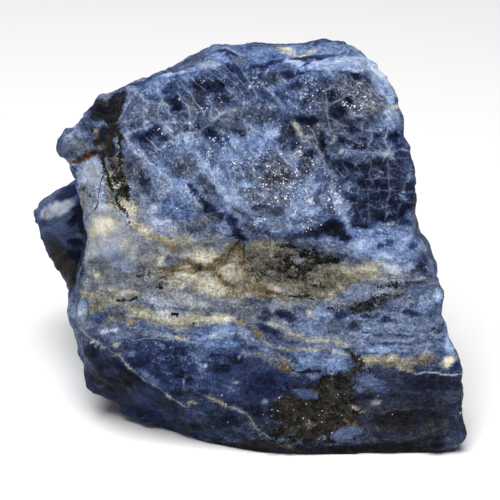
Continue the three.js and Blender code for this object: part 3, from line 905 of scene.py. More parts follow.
# %% Left edge, its minerals
minerals([
    ("black", 85, 40, -26.9, 31.6, 1, 1.9), ("black", 85, 30, -27.5, 28.8, 1.2, 1.8),
    ("black", 75, 40, -30.2, 30.3, 2.2, 0.6, -5), ("black", 70, 40, -30.4, 27.6, 2.4, 0.9),
    ("black", 85, 50, -28.6, 25.9, 1.7, 1), ("black", 85, 60, -29.6, 23.8, 1.2, 2),
    ("black", 75, 50, -29.2, 21.2, 0.8, 1.7), ("black", 70, 60, -31.2, 22.6, 1, 0.7, -30),
    ("black", 70, 50, -32.2, 24.7, 1.3, 0.5, -10), ("black", 85, 60, -27.1, 24, 1.5, 0.35, -48),
    ("olive", 90, 70, -32.4, 24.6, 0.7, 0.4, -30), ("rust", 90, 40, -32, 23.8, 0.5, 0.6),
    ("rust", 90, -25, -36, 19, 2, 0.5, 18), ("rust", 90, -20, -33.8, 20.1, 1.4, 0.6, 10),
    ("rust", 80, -25, -31.6, 20.3, 1.4, 0.6), ("black", 60, 60, -29, 19.2, 1, 0.9),
    ("black", 60, 70, -27, 18.4, 0.6, 1.6, -8), ("black", 72, 60, -27.2, 15.4, 1.4, 1.8),
    ("black", 78, 40, -26.4, 12.4, 1.2, 2.6, 22), ("black", 72, 50, -27.6, 18, 0.9, 1.4),
    ("black", 40, 50, -24.8, 9.8, 0.8, 1.2, -30), ("black", 70, 40, -29.2, 13.6, 0.5, 1.8, 20),
    ("black", 70, 60, -36.9, 16.4, 0.4, 1.8, -5), ("black", 45, 60, -35.4, 12.8, 0.5, 1.2),
    ("black", 50, 50, -33.9, 11.4, 0.6, 0.6), ("cream", 90, 70, -27.3, 13.2, 0.4, 0.4),
    ("olive", 50, 40, -35.9, 10.2, 0.6, 1.8, 10), ("cream", 60, 60, -33.8, 16.2, 0.5, 0.5),
    ("cream", 70, 85, -26, 9, 2.6, 1.5, -25), ("white", 80, 90, -30.4, 8.3, 1.4, 0.4),
    ("white", 85, 66, -29.4, 5, 4.6, 3.4, -20), ("cream", 100, 100, -30.5, 5.2, 2.4, 1.7, -8),
    ("cream", 90, 80, -33, 3.6, 0.9, 1.4, -10), ("cream", 85, 80, -22.4, 4.6, 3, 1, -28),
    ("cream", 70, 60, -19.6, 3.3, 1.4, 0.7, -10), ("white", 60, 75, -27.2, 4.6, 1.2, 1.4, -20),
    ("cream", 95, 75, -32.3, -5.3, 1, 1), ("white", 60, 60, -34.2, -4, 0.8, 1.4),
    ("cream", 90, 70, -35.3, -9.1, 0.9, 0.8), ("cream", 60, -25, -41.6, -2.8, 6.4, 1.8, -62),
    ("olive", 45, -30, -40.6, -4.8, 4, 1.4, -62), ("rust", 60, 20, -45, 7.8, 0.35, 0.8),
])
print("minerals of the left edge painted")

# %% Left edge, its streaks and cracks
streaks([
    ("black", 85, 50, 0.42, [
        (-26.6, 32.6), (-27, 29.6), (-27.8, 27.2), (-29, 24.8), (-29.6, 22.2), (-30.8, 20.2),
    ]),
    ("black", 85, 50, 0.42, [(-31.2, 19.8), (-30.2, 16.6), (-29, 13.2), (-27.7, 9.8)]),
    ("black", 85, 50, 0.42, [
        (-28, 24.8), (-26.6, 22.8), (-26.8, 19.4), (-26.6, 16.2), (-26.1, 13), (-25.3, 10.2),
    ]),
    ("black", 85, 50, 0.42, [(-29.4, 19.4), (-28.2, 17.4), (-26.9, 16.6)]),
    ("black", 85, 50, 0.42, [(-28.4, 13.2), (-27.2, 12.2), (-26.2, 12.4)]),
    ("black", 85, 50, 0.42, [(-27.6, 9.6), (-26, 7.6), (-24.8, 6)]),
])
lines([
    ("dark", 0.24, 0.95, [(-31.2, 19.6), (-30.3, 17.4), (-29.7, 15.2), (-28.9, 13)]),
    ("dark", 0.12, 0.6, [(-28.6, 9.6), (-27.6, 8.2), (-26.4, 6.4), (-25.2, 5.2)]),
    ("dark", 0.15, 0.8, [(-28, 24.8), (-27, 23.8), (-25.9, 22.4)]),
    ("dark", 0.16, 0.95, [(-30.5, 15.6), (-31.5, 13), (-32.2, 9.2), (-33, 8.1), (-34.3, 7)]),
    ("dark", 0.13, 0.55, [(-36.4, 23.3), (-34, 23), (-32.6, 22.4)]),
    ("dark", 0.12, 0.6, [(-21.7, 6.9), (-21.5, 5.7)]),
    ("dark", 0.12, 0.5, [(-24.4, 18.2), (-22.4, 19.2), (-20.6, 20.3)]),
])
groove("thin cracks", 0.35, 0.5, [(-31.2, 19.6), (-30.3, 17.4), (-29.7, 15.2), (-28.9, 13)])
groove("thin cracks", 0.35, 0.4, [(-28, 24.8), (-27, 23.8), (-25.9, 22.4)])
groove("crack band", 0.8, 1.0, [
    (-26.6, 33), (-27.1, 30.5), (-27.6, 27.5), (-29, 25), (-29.4, 22), (-30.6, 20.4),
])
groove("rust vein", 0.5, 0.5, [(-38, 18.3), (-35, 19.4), (-32.5, 20), (-31, 20.2)])
dabs("net", [(10, -32, 5, 7, 22)])
blend_in("pepper", 0.5, 0.8 * stroke(-29.5, 14, 5, 6))
print("left edge painted")

# %% [markdown]
# ## The bright band
#
# A band of cream, tan and grey-green minerals crosses the middle of the stone, with brown stains
# and sooty grains in it. Below it the blue returns, streaked with cream.

# %% Band, its minerals
blues([
    (30, 95, 24, -11.8, 4.6, 1.3, 6), (38, 90, 30, -9.4, 5.5, 0.8, 12),
    (38, 90, 34, -7.2, 3.4, 0.7, 15), (64, 95, -9, 1.4, 4, 1),
])
minerals([
    ("white", 40, 33, -23, -4, 8, 4.6), ("cream", 85, 58, -9, -4, 10, 5.6, -7),
    ("olive", 30, 50, -8, -4, 9, 4, -7), ("cream", 70, 28, 0, -9.6, 12, 2, -8),
    ("cream", 60, 28, 14, -9.8, 9, 1.8), ("white", 80, 36, -4, -11.6, 12, 1.6, -6),
    ("white", 50, 28, 12, -11.8, 9, 1.4), ("olive", 30, 20, 5, -6.5, 11, 3),
    ("white", 70, 46, -16, -9.6, 6, 1.8), ("cream", 85, 16, 5, -3, 9, 4.8),
    ("cream", 85, 24, 15.5, -6, 8, 3.2), ("white", 65, 60, -14.8, 3.6, 3.4, 1.2, -10),
    ("cream", 85, 60, -13, 2, 3, 0.9, -10), ("white", 80, 66, -8, 1.2, 4.2, 1.3, -5),
    ("olive", 90, 70, -17.8, 2.2, 1.8, 0.9, -8), ("olive", 70, 50, -15.6, 1.2, 1.2, 0.7, -20),
    ("olive", 90, 75, -16, -0.2, 1.3, 0.5, -5), ("rust", 70, 50, -15.6, -0.1, 0.6, 0.25, -5),
    ("cream", 80, 80, -18.4, -2.8, 0.8, 1.3), ("cream", 80, 80, -16.2, -0.7, 1.8, 0.4),
    ("olive", 100, 14, -12.6, -3.2, 4, 1.5, 8), ("rust", 35, 10, -13.4, -3.4, 2, 0.6, 8),
    ("olive", 90, 20, -16.6, -4.4, 1.6, 0.7, -10), ("olive", 100, 6, -9.2, -4, 1.8, 1, -10),
    ("olive", 100, 5, -6.2, -3, 1.5, 0.8, 30), ("olive", 60, 12, -0.4, -7.6, 1.4, 0.8, -30),
    ("olive", 50, 15, 2.4, -8.8, 2, 0.6, -20), ("cream", 90, 70, -13.4, -3.4, 0.8, 0.4),
    ("cream", 100, 76, -9, -1.5, 2.9, 1.3, -8), ("olive", 40, 100, -8.6, -1.8, 1.8, 0.8, -8),
    ("olive", 100, 35, -14.6, -4.5, 3, 0.7, 2), ("olive", 100, 8, -9.6, -4, 2.4, 0.9),
    ("white", 90, 70, -8.5, -3.8, 0.9, 0.5), ("olive", 90, 10, -6.6, -5.2, 0.9, 0.8),
    ("cream", 100, 84, -4.6, -5.2, 2.5, 1.9, -20), ("olive", 50, 80, -4.8, -5, 1.8, 1.2, -20),
    ("olive", 100, 10, -5.8, -2.1, 2.4, 0.9, 40), ("olive", 100, 8, -3.4, 0.2, 1.9, 1, 52),
    ("black", 100, 30, -3.3, 0.7, 1, 0.22, 48), ("olive", 90, 8, -1.5, -1, 0.9, 2.4),
    ("cream", 80, 40, -3, -1.4, 0.8, 1.4), ("olive", 90, 50, -1.2, -5, 0.6, 1.4, 8),
    ("white", 90, 84, -11, -6.6, 3.4, 1.7, -10), ("cream", 60, 84, -11.4, -6, 3.4, 1.4, -10),
    ("cream", 95, 86, -7.6, -7.8, 3.2, 1.4, -8), ("cream", 80, 76, -14.8, -7, 2.4, 1.2),
    ("white", 80, 80, -13.6, -1, 1.6, 0.8), ("olive", 80, 20, -5, -7.2, 1.4, 0.8),
    ("cream", 90, 25, 0.4, -3.6, 1.2, 1.4), ("cream", 90, 40, 2.4, -5.2, 1.8, 1.2),
    ("cream", 95, 75, 5.2, -8, 1.8, 0.7, -15), ("olive", 80, 50, 2.4, -7.2, 1.8, 0.6, -20),
    ("cream", 65, 34, 2.6, 1.2, 3.6, 1.1), ("black", 55, 70, 8.4, 0.9, 3.4, 0.9, -8),
    ("olive", 25, 0, 10, -2.2, 5, 2.8, -8), ("black", 50, 80, 6.6, -3.4, 2.6, 1.8, -20),
    ("black", 60, 80, 8.4, -2, 4, 2.4, -10), ("black", 64, 70, 11.4, -3.2, 3.6, 1.6, 10),
    ("black", 66, 70, 12.6, -0.6, 3, 0.9, -12), ("white", 70, 55, 10.2, -1.8, 1.5, 0.6, 8),
    ("white", 60, 42, 4.4, -5, 2, 1, -10), ("white", 50, 35, 2.6, -1.4, 1.2, 0.8),
    ("white", 70, 60, 13.6, -4.9, 1.4, 0.5), ("black", 80, 50, 9, -5.5, 1.5, 0.45),
    ("black", 95, 30, 16.6, -2.3, 2.4, 0.8, -8), ("black", 80, 40, 14.2, -1.6, 1.6, 0.5, -15),
    ("cream", 90, 46, 16.6, -4.9, 2.4, 0.9), ("cream", 90, 62, 19.6, -4.4, 2.2, 1, -8),
    ("olive", 50, 30, 12.6, -6.6, 2.8, 0.9), ("cream", 75, 25, 18, -7, 4, 1.3, 5),
    ("black", 75, 60, 12, -9.8, 3.2, 0.45, -2), ("black", 70, 60, 13.4, -7.6, 1.8, 0.3, 5),
    ("black", 80, 40, 9.4, -9.7, 1.6, 0.4), ("cream", 60, 40, 16.6, -9, 3, 0.8, 4),
    ("white", 100, 100, 20.6, -3.3, 1.8, 0.3, -35), ("white", 70, 72, 27, -4, 6, 1.6, -8),
    ("cream", 95, 90, 24.4, -3.9, 2.2, 0.7, -6), ("cream", 70, 75, 26.6, -3, 1.4, 0.35, 10),
    ("cream", 80, 45, 25.2, -5.2, 2.4, 0.7), ("white", 60, 60, 31, -8.6, 4, 0.8, 8),
    ("white", 60, 60, 29.6, -4.5, 1.4, 0.5), ("black", 55, 70, 29.8, -7.2, 5, 0.8, 12),
    ("black", 60, 30, 30.4, -6.2, 0.6, 0.4), ("white", 80, 60, 35.6, -6.3, 1.5, 0.3, 5),
    ("black", 66, 50, 23.6, -12, 3.4, 1, 5), ("black", 58, 60, 28.4, -9.9, 4.2, 0.9, 9),
    ("black", 60, 60, 18, -12, 2.2, 0.3, 10), ("black", 50, 60, 34.4, -9.8, 2.6, 0.3, 5),
    ("white", 80, 55, -30, -8.2, 2.2, 0.6), ("white", 90, 90, -26, -8.7, 2.2, 0.7, 3),
    ("cream", 35, 40, -23, -9, 6, 1.4), ("cream", 70, 60, -33.2, -9.6, 1.6, 0.6),
    ("black", 85, 50, -26.4, -10.6, 4, 0.3, 6), ("white", 50, 55, -20.4, -9, 1.8, 0.8),
    ("white", 75, 80, -25.4, 0.8, 2.4, 2.2), ("white", 70, 58, -19.6, -0.6, 2.6, 1.6),
    ("white", 70, 75, -17.8, -1.4, 1, 1.6), ("black", 30, 80, -22.4, -4.8, 2.4, 1.4),
    ("black", 34, 60, -18.4, -7.8, 1.6, 0.9, -30),
])
print("minerals of the band painted")

# %% Band, its streaks and cracks
blues([
    (54, 95, -16, -2.4, 1.7, 1.3), (80, 40, 29.8, -3.6, 2.8, 0.9, -8),
    (70, 35, 32.8, -3.4, 1.6, 0.8), (44, 70, 24, -7.4, 3.4, 0.9, 5),
])
wipe(stroke(-16.2, -2.4, 1.3, 1.0))
streaks([
    ("olive", 90, 50, 0.28, [(-15.2, -6.2), (-13, -7), (-11, -8.6)]),
    ("olive", 85, 8, 0.4, [(-6.5, -5.6), (-5.2, -7.4), (-2, -8.7), (1, -8.8), (3.4, -9.3)]),
    ("olive", 90, 0, 0.35, [(-9, -3.6), (-7, -5.2), (-6.4, -6.6)]),
    ("olive", 80, 10, 0.36, [(-16, -4.6), (-12, -4.8), (-8.6, -3.6), (-5.6, -1.6), (-2.4, 1.4)]),
    ("olive", 80, 10, 0.38, [(0, -5.6), (2, -7.2), (4, -8.7), (6, -9.7), (8.2, -10.9)]),
    ("olive", 80, 40, 0.25, [(0.4, 0.4), (3.4, -0.4), (5.8, -1.8)]),
    ("cream", 80, 80, 0.3, [(-17.4, -5.4), (-18.4, -4.2), (-18.2, -2.2), (-17, -1)]),
])
lines([
    ("dark", 0.11, 0.4, [(27.5, -5.3), (31, -5.7), (38.6, -5.6)]),
    ("dark", 0.12, 0.8, [(-4.3, -0.3), (-2.3, 1.8)]),
    ("dark", 0.16, 0.9, [(-1.1, 0.6), (-0.95, -2.2)]),
    ("dark", 0.1, 0.5, [(-1.4, -3), (-1.2, -5.4), (-0.4, -8)]),
    ("dark", 0.1, 0.5, [(2, -1.2), (4.6, -3.4), (6, -5.4)]),
    ("dark", 0.1, 0.6, [(11.4, -5.4), (14, -4.2), (16.4, -3)]),
    ("dark", 0.1, 0.5, [(17, -4.8), (20, -6), (23, -6.4)]),
    ("dark", 0.1, 0.5, [(19.4, -7.6), (21.6, -7), (24, -7)]),
])
groove("stained cracks", 0.5, 0.55, [
    (-1.1, 1.4), (-1, -2), (-1.6, -5), (-0.5, -8.4), (3, -8.9), (6, -9.6), (8.2, -10.9),
])
groove("stained cracks", 0.5, 0.45, [
    (-17.5, -4.6), (-13, -4.6), (-9, -4.2), (-6, -2), (-4, 0), (-2.2, 1.8),
])
groove("side crack", 0.4, 0.5, [(27.5, -5.3), (31, -5.7), (40, -5.6)])
dabs("pepper", [
    (85, 4, -3, 7, 5), (78, 14, -5.6, 8, 3.4), (78, -19, -6.4, 3.6, 4), (66, -23, -5, 3.6, 4),
    (80, -8, -3.6, 5, 2.2), (60, -15, -13.4, 8, 1.8), (60, -27, -6.5, 7, 3.4),
    (55, -10, 1.2, 6, 1.4), (50, -26, 9, 3, 3), (55, -34.5, 11, 2, 4), (60, 22, -9.5, 6, 2.4),
    (45, -22, -14.5, 5, 3), (50, 33, -6, 6, 4), (45, 23, -1, 3, 2),
])
blend_in("net", 0.1, stroke(0, -5, 36, 6) * turned_to_viewer)
print("band painted")

# %% Blues below the band
blues([
    (52, 90, -1, -13, 6, 1.4, -12), (66, 80, -20.6, -10.4, 2.4, 0.8),
    (54, 70, -19, -11.8, 3.4, 0.7, -6), (40, 5, -32, -14.2, 2.4, 1.1),
    (72, 40, -36, -12.6, 0.9, 2.4), (46, 95, -28, -12.6, 2.4, 0.9), (58, 95, -5, -12, 4.4, 0.9),
    (48, 90, -10, -12.8, 2.4, 0.6, -10), (70, 95, -12.5, -11, 4.6, 0.9, -4),
    (44, 90, 1.4, -11.2, 2.4, 1, -30), (12, 10, 7.2, -13.4, 2, 1.1, -25),
    (28, 60, 3.6, -12.8, 1.4, 0.8, -30), (54, 90, 4.6, -10.8, 1.8, 0.6, -20),
    (46, 40, 10.4, -12.2, 1.6, 0.8), (64, 20, 14.4, -12.8, 1.6, 1),
    (74, 20, 16.4, -13.6, 1.2, 0.8, -30), (24, 10, 19, -13.4, 1.1, 0.9),
    (54, 60, 22.6, -8, 2.6, 0.9, 5), (54, 50, 20.6, -9.8, 2.2, 0.7, 5), (52, 30, 35, -8.4, 2.4, 1),
    (80, 0, 39.2, -9.6, 0.9, 1.5), (60, 10, 37, -11.4, 1.6, 0.8), (18, 5, 33.4, -13.2, 1.6, 0.6),
    (34, 20, 38, -13.2, 1.2, 0.6, 20), (24, 20, 24.6, -13.9, 1.8, 0.5),
    (42, 20, 29, -12.6, 2, 0.8), (28, 10, 28.2, -14.8, 1.6, 0.4, 5),
    (88, 30, -30, -17, 2.4, 0.6, 3), (42, 50, -33, -17.2, 1.8, 0.8),
    (24, 30, -32, -18.8, 2.4, 0.5, -15), (46, 60, -25.4, -17, 2.4, 1.4),
    (50, 50, -21, -16.2, 2.6, 0.9, -14), (56, 80, -19.6, -17.8, 3.6, 0.5, -4),
    (60, 60, -36, -15.4, 0.9, 1.6), (70, 20, -5.6, -16.8, 2.4, 1.5),
    (62, 30, -11.6, -18.7, 2.8, 0.9), (64, 5, -9, -16.8, 2.8, 0.7, 5),
    (86, 10, -8.6, -17.8, 2, 0.35, 18), (58, 10, -6, -19.6, 4.4, 1),
    (66, 55, 0, -18.4, 3.2, 1, -38), (62, 55, 3.4, -20.8, 1.8, 0.7, -30),
    (14, 30, 3.8, -16.6, 2.4, 1, -30), (26, 10, 3, -14.2, 1.4, 0.5, -30),
    (55, 30, 13.6, -16, 2.4, 1.7), (50, 30, 10, -15.6, 1.8, 1.2), (56, 60, 11, -20, 3, 0.6),
    (44, 30, 16.2, -20.8, 1.6, 0.7), (62, 15, 12.6, -23.4, 2.4, 1.2),
    (64, 5, 17.8, -23.6, 1.8, 1.6), (30, 80, 21.6, -16, 1.2, 1, 20),
    (74, 0, 27, -20.8, 3.4, 0.7, 2), (66, 30, 24.4, -17.6, 1.8, 0.8),
    (16, 0, 39, -16.6, 2.2, 0.5, 30), (74, 0, 41.6, -19.6, 1, 2, 12),
    (50, 40, 35, -18.6, 3.2, 0.8, 5), (56, 20, 31.6, -20.4, 2.4, 0.6),
    (42, 40, 38.6, -23.4, 1.6, 0.7), (20, 10, 43, -24.4, 1.2, 0.8, 20),
    (30, 10, 37, -26.7, 1.2, 0.4), (46, 30, 40, -21.4, 1.8, 0.5, 15),
])
print("blues below the band painted")

# %% Streaks below the band
haze(0.62, 0.25, [(24, -16.4), (31, -15.9), (36, -16.6), (40.2, -14.2)], 0.3)
haze(0.66, 0.25, [(29, -19), (34, -18.6), (38, -17.4), (41, -15.6)], 0.4)
haze(0.28, 0.2, [(23, -17.2), (30, -17.6), (35, -18.0)], 0.2)
haze(0.30, 0.2, [(28, -19.8), (34, -19.4), (40, -19)], 0.2)
haze(0.30, 0.2, [(3.6, -17.6), (8, -19.6), (13, -19.9)], 0.3)
haze(0.66, 0.5, [(-1.5, -21.4), (2, -22.2), (5, -22.6), (8, -24.4), (10.4, -26.2)], 0.8)
minerals([
    ("cream", 70, 62, -15, -14.2, 6.2, 1.6, 3), ("cream", 85, 72, -14.4, -14.5, 5, 1, 3),
    ("cream", 60, 72, -22, -13.3, 4, 1.2, -6), ("white", 50, 84, -17.6, -13.4, 3.4, 0.8, 3),
    ("cream", 100, 85, -6.2, -14.3, 3.4, 0.8, -5), ("olive", 70, 70, -2, -14.9, 1.8, 0.6, -10),
    ("black", 100, 30, -15.6, -13.3, 0.9, 0.18, 12), ("black", 90, 30, -12.2, -15.3, 1, 0.15, 10),
    ("white", 85, 75, -11.5, -11.3, 2.4, 0.4, 3), ("cream", 55, 50, -14, -16.5, 3, 0.6),
    ("cream", 80, 60, -14.6, -18.3, 2.6, 0.4), ("olive", 90, 60, -25, -15.3, 0.8, 1),
    ("white", 60, 60, -24.6, -13.8, 1.6, 0.5), ("olive", 85, 25, 1.4, -16.8, 2, 0.4, -48),
    ("olive", 60, 10, 6.4, -24.2, 3.4, 1.2, -24), ("cream", 50, 40, 3, -22.6, 3, 1, -20),
    ("cream", 90, 80, 12.2, -13, 0.35, 0.5), ("cream", 90, 70, -28, -19.9, 0.7, 0.4),
    ("cream", 85, 50, -28.3, -22, 1.5, 0.5, 25), ("cream", 90, 70, -30.7, -20.7, 0.7, 0.3),
    ("white", 95, 75, 18.8, -21.3, 1.8, 0.5, -32), ("cream", 90, 75, 25.6, -22.9, 3.4, 0.9, 6),
    ("cream", 80, 42, 30.5, -23.4, 5.2, 1.1), ("cream", 70, 35, 36.5, -23.2, 3, 1.1, 10),
    ("olive", 100, 90, 29.5, -22.8, 0.9, 0.4), ("olive", 50, 45, 35.4, -22.2, 2.4, 0.6, 16),
    ("cream", 80, 55, 32.4, -25, 2.6, 0.5, -12), ("cream", 100, 110, 41.2, -23.5, 1.9, 1, 35),
    ("white", 80, 70, 39.7, -24.5, 0.8, 0.4, 20), ("black", 85, 50, 20.8, -21.4, 1.8, 0.6, -42),
    ("black", 80, 60, 22.6, -23.4, 2.2, 1, -50), ("black", 75, 50, 24.4, -25, 2.4, 0.7, -5),
    ("white", 90, 80, 17.4, -26.2, 1.2, 0.6, -35), ("white", 60, 70, 25, -18.6, 0.9, 0.3),
    ("cream", 60, 60, 24.4, -24.4, 1.2, 0.4, 30),
])
print("minerals below the band painted")

# %% Lines and ledge below the band
streaks([
    ("cream", 75, 62, 0.52, [
        (3.5, -14.6), (6, -16), (9, -17.8), (11, -18.7), (14, -19), (17.4, -18.7), (20, -19.6),
    ]),
    ("cream", 65, 50, 0.45, [(2.6, -18.6), (5, -20.4), (7, -21), (10, -21), (16, -20.6)]),
    ("olive", 70, 60, 0.3, [(4.6, -21.4), (7, -22.4), (8.6, -23.8)]),
])
lines([
    ("cream", 0.12, 0.3, [(4, -14.9), (8, -17.2), (11, -18.7), (16, -19)]),
    ("cream", 0.1, 0.25, [(2.6, -18.6), (5, -20.4), (9, -21), (16, -20.6)]),
    ("white", 0.1, 0.5, [(-19.5, -15.6), (-16, -16.4), (-12, -16)]),
    ("white", 0.1, 0.5, [(-24, -18.9), (-18, -19), (-12, -19)]),
    ("white", 0.13, 0.8, [(35.6, -25.8), (40, -25.9), (44.6, -25.8)]),
    ("white", 0.1, 0.4, [(36, -18.6), (38.6, -16.8), (40.4, -14.8)]),
])
ledge("right ledge", 0.7, 2, [(45, -25.6), (37, -25.6), (31, -26), (24, -25.5)])
print("streaks painted")

# %% [markdown]
# ## The foot of the stone
#
# A bevel turns under along the lower left, with a pale crease on its edge. Below the crease the
# rock is painted nearly black: its own dark blue, deepened as painted shade where the bevel turns
# under. The lower middle has a sooty mass with blue islands, and the lower right is dark and finely
# layered.

# %% Foot, its ground
blues([
    # The first rows paint the underside below the crease near black, partly as painted shade where it
    # turns under.
    (7, 20, -33.2, -21.8, 1.6, 1.8), (20, 50, -31, -23.6, 2.6, 0.5, 20),
    (3, 20, -27.4, -27, 4.2, 3, -10), (16, 50, -32, -27.6, 1.8, 2.2),
    (44, 60, -32.2, -29, 1.1, 0.4, -20), (50, 70, -35.9, -20.4, 0.7, 1.8),
    (30, 0, -22, -31, 2.4, 3), (30, 10, -13, -34.6, 2, 1.4), (28, 10, -29.4, -25.6, 1.6, 1),
    (34, 50, -25.7, -29.7, 0.9, 0.7), (12, 20, -17.6, -32.4, 2.8, 1.2, -25),
    (26, 20, -18.6, -34.8, 3.4, 1.4, -18), (50, 25, -21, -26.6, 3, 0.9, -40),
    (44, 30, -18, -28.6, 1.8, 0.6, -35), (30, 10, -23, -21, 2, 1.2),
    (46, 50, -25.4, -21.4, 1.4, 0.8, -20), (16, 5, -16, -21.6, 2.8, 1.6),
    (20, 5, -17.6, -24.6, 3, 1.4), (10, 10, -14.6, -26, 1.4, 0.9), (5, 10, -12.4, -27.4, 1, 0.7),
    (24, 60, -13.6, -29.6, 2.2, 0.9), (7, 20, -7.6, -21.9, 1, 0.5),
    (40, 20, -6.4, -20.8, 2.4, 0.7), (6, 20, -2.9, -22.9, 1.6, 0.9), (10, 20, -6, -24.6, 2.2, 1),
    (40, 20, -10.4, -21.6, 1.4, 1.4), (86, 30, -9.3, -24, 0.8, 0.4),
    (34, 40, 1.6, -24, 3.2, 1.2, -30), (42, 10, -3.2, -30, 2.2, 1.8),
    (19, 0, 3.4, -28.2, 5.4, 3.2), (24, 0, 7, -27.4, 2.4, 1.2), (30, 10, -9, -33, 1.4, 1.3),
    (10, 20, 0.6, -34, 2, 1.2), (12, 30, -5.4, -36, 3.4, 1.4),
    (38, 70, -1.8, -38.2, 2.2, 0.5, -38), (16, 50, -12.6, -36.8, 3.6, 1.2, -12),
    (34, 40, 11.6, -27.2, 3, 0.7, -5), (12, 30, 5.2, -33.6, 1.6, 1.6),
    (52, 25, 25.2, -27.3, 2.6, 1, -8), (46, 25, 22.6, -28.8, 1.4, 0.8),
    (44, 20, 27.6, -29.1, 1.9, 0.7, -5), (10, 30, 24, -30.6, 1.8, 0.7), (16, 60, 38, -28, 6, 1.6),
    (40, 50, 41.4, -31.2, 1.2, 0.4), (20, 50, 31.6, -30.4, 3.2, 0.8),
    (30, 100, 40, -37.6, 4.6, 0.8, 18), (12, 90, 33, -35, 7, 1.6), (8, 90, 33, -40.9, 9, 1, 3),
    (24, 100, 38, -39.8, 4, 0.6, 16),
])
minerals([
    ("olive", 85, -40, 14, -34, 9, 5.5), ("olive", 35, -50, 34, -36, 10, 4),
    ("black", 95, 55, 12.4, -34, 6.4, 4), ("black", 80, 50, 11.6, -29.8, 4, 2),
    ("black", 92, 50, 18.4, -30.2, 3.6, 4.6), ("black", 92, 60, 18, -34, 5, 3),
    ("black", 85, 60, 12, -38.6, 10, 2.4), ("black", 90, 50, 9.1, -23.1, 0.9, 0.7, -20),
    ("black", 80, 50, 8.4, -25, 1, 0.35, -20), ("black", 85, 40, 12.8, -25.4, 2.6, 0.35, -4),
    ("black", 80, 50, 15.6, -27.8, 1.6, 1.4), ("black", 100, 50, 20.9, -25.8, 3, 1.1, 42),
    ("black", 100, 50, 18.4, -27.6, 2.2, 1.3, 30), ("black", 70, 60, 2.6, -41, 7, 1.2),
    ("black", 55, 60, 29, -35.6, 3.6, 1.2), ("cream", 80, 35, 12.6, -36.7, 1.5, 0.8, -10),
    ("white", 90, 55, 26.4, -31.6, 1.1, 0.6, 12), ("cream", 90, 60, 22.2, -33, 1.8, 0.35, -24),
    ("white", 100, 90, 2.9, -32, 0.6, 0.45, 20), ("olive", 70, 20, 21, -36.1, 1.6, 0.4, -22),
    ("white", 90, 90, -3.2, -27.6, 0.9, 0.25, 5), ("cream", 60, 40, -5.4, -39.7, 3, 0.2),
    ("olive", 90, 60, -11.2, -31.8, 1.8, 0.25), ("cream", 70, 30, 7.6, -41.5, 2.2, 0.4, -4),
    # The white ovals at (-33.3, -19.8), (-32.3, -20.3), (-16.8, -30.5) and (-2.4, -22.4) are painted
    # glints.
    ("cream", 80, 50, -12.9, -33, 0.3, 0.9), ("white", 100, 100, -33.3, -19.8, 0.5, 0.25, 30),
    ("white", 100, 100, -32.3, -20.3, 0.4, 0.25, 20),
    ("white", 100, 100, -16.8, -30.5, 0.6, 0.35, -35),
    ("cream", 90, 80, -25.2, -24.6, 1.4, 0.45, -42), ("white", 80, 60, 15.7, -39.4, 0.4, 0.6),
    ("white", 60, 40, 33.6, -38.4, 0.5, 0.5), ("white", 60, 40, 36, -37.4, 0.4, 0.4),
    ("white", 50, 40, 27, -37.4, 0.6, 0.4), ("white", 90, 90, -2.4, -22.4, 0.4, 0.2),
    ("white", 70, 60, 5.4, -31.6, 0.3, 0.3), ("olive", 30, 20, 16, -33.4, 2, 1.2),
])
print("ground and minerals of the foot painted")

# %% Foot, its islands and streaks
ISLAND_EDGE = 0.25

for tone, *oval in [
    (47, 11.6, -30, 2.6, 1, -12), (52, 20.2, -38.4, 3.2, 1.35, 10), (50, 25.2, -27.6, 2.4, 1, -8),
]:
    blues([(tone, 30, *oval)])
    blend_in("calm", 0.7, stroke(*oval))
    wipe(stroke(*oval, soft=ISLAND_EDGE))
streaks([
    ("cream", 70, 60, 0.3, [(-36, -17), (-34, -18.6), (-32.5, -19.4), (-31, -20)]),
    ("cream", 80, 60, 0.34, [(-27.3, -22), (-26, -23.8), (-25, -24.8), (-23.5, -25.7)]),
    ("white", 55, 30, 0.3, [
        (-23.5, -25.7), (-22, -27), (-19.5, -28.6), (-17.5, -29.8), (-15, -31.2), (-13.6, -32.2),
    ]),
    ("cream", 90, 60, 0.42, [(-8.8, -30.8), (-6, -31.8), (-4.6, -32.6)]),
    ("white", 90, 80, 0.4, [(-3.6, -32.9), (-2, -33.6), (-0.8, -34.4)]),
    ("cream", 80, 30, 0.36, [(-0.8, -34.4), (0, -36), (1, -37.2), (2.4, -38.4), (3.6, -39.6)]),
])
lines([
    ("cream", 0.1, 0.3, [
        (-36, -17), (-34, -18.6), (-31, -20.2), (-27.3, -22), (-25, -24.8), (-22, -27),
        (-17.5, -29.8), (-13.6, -32.2),
    ]),
    ("cream", 0.1, 0.25, [
        (-8.8, -30.8), (-6, -31.8), (-3, -33.2), (-0.8, -34.4), (0, -36), (3.6, -39.6),
    ]),
])
haze(0.46, 0.35, [(-12.6, -20.2), (-11.2, -23), (-9, -25.6), (-7.4, -28)], 0.2)
haze(0.30, 0.3, [(-24, -28), (-24.6, -30.6), (-24.6, -33)], 0.2)
haze(0.34, 0.3, [(-3, -25.6), (-1.6, -27), (-0.4, -28.8)], 0.5)
haze(0.34, 0.25, [(28, -29.8), (36, -29.5), (44, -29.7)], 0.6)
haze(0.34, 0.3, [(27, -33.6), (35, -33.2), (44, -33.6)], 0.9)
haze(0.36, 0.3, [(31, -40.4), (36, -38.8), (40, -37.4), (44.4, -36.6)], 1.0)
print("islands and streaks of the foot painted")

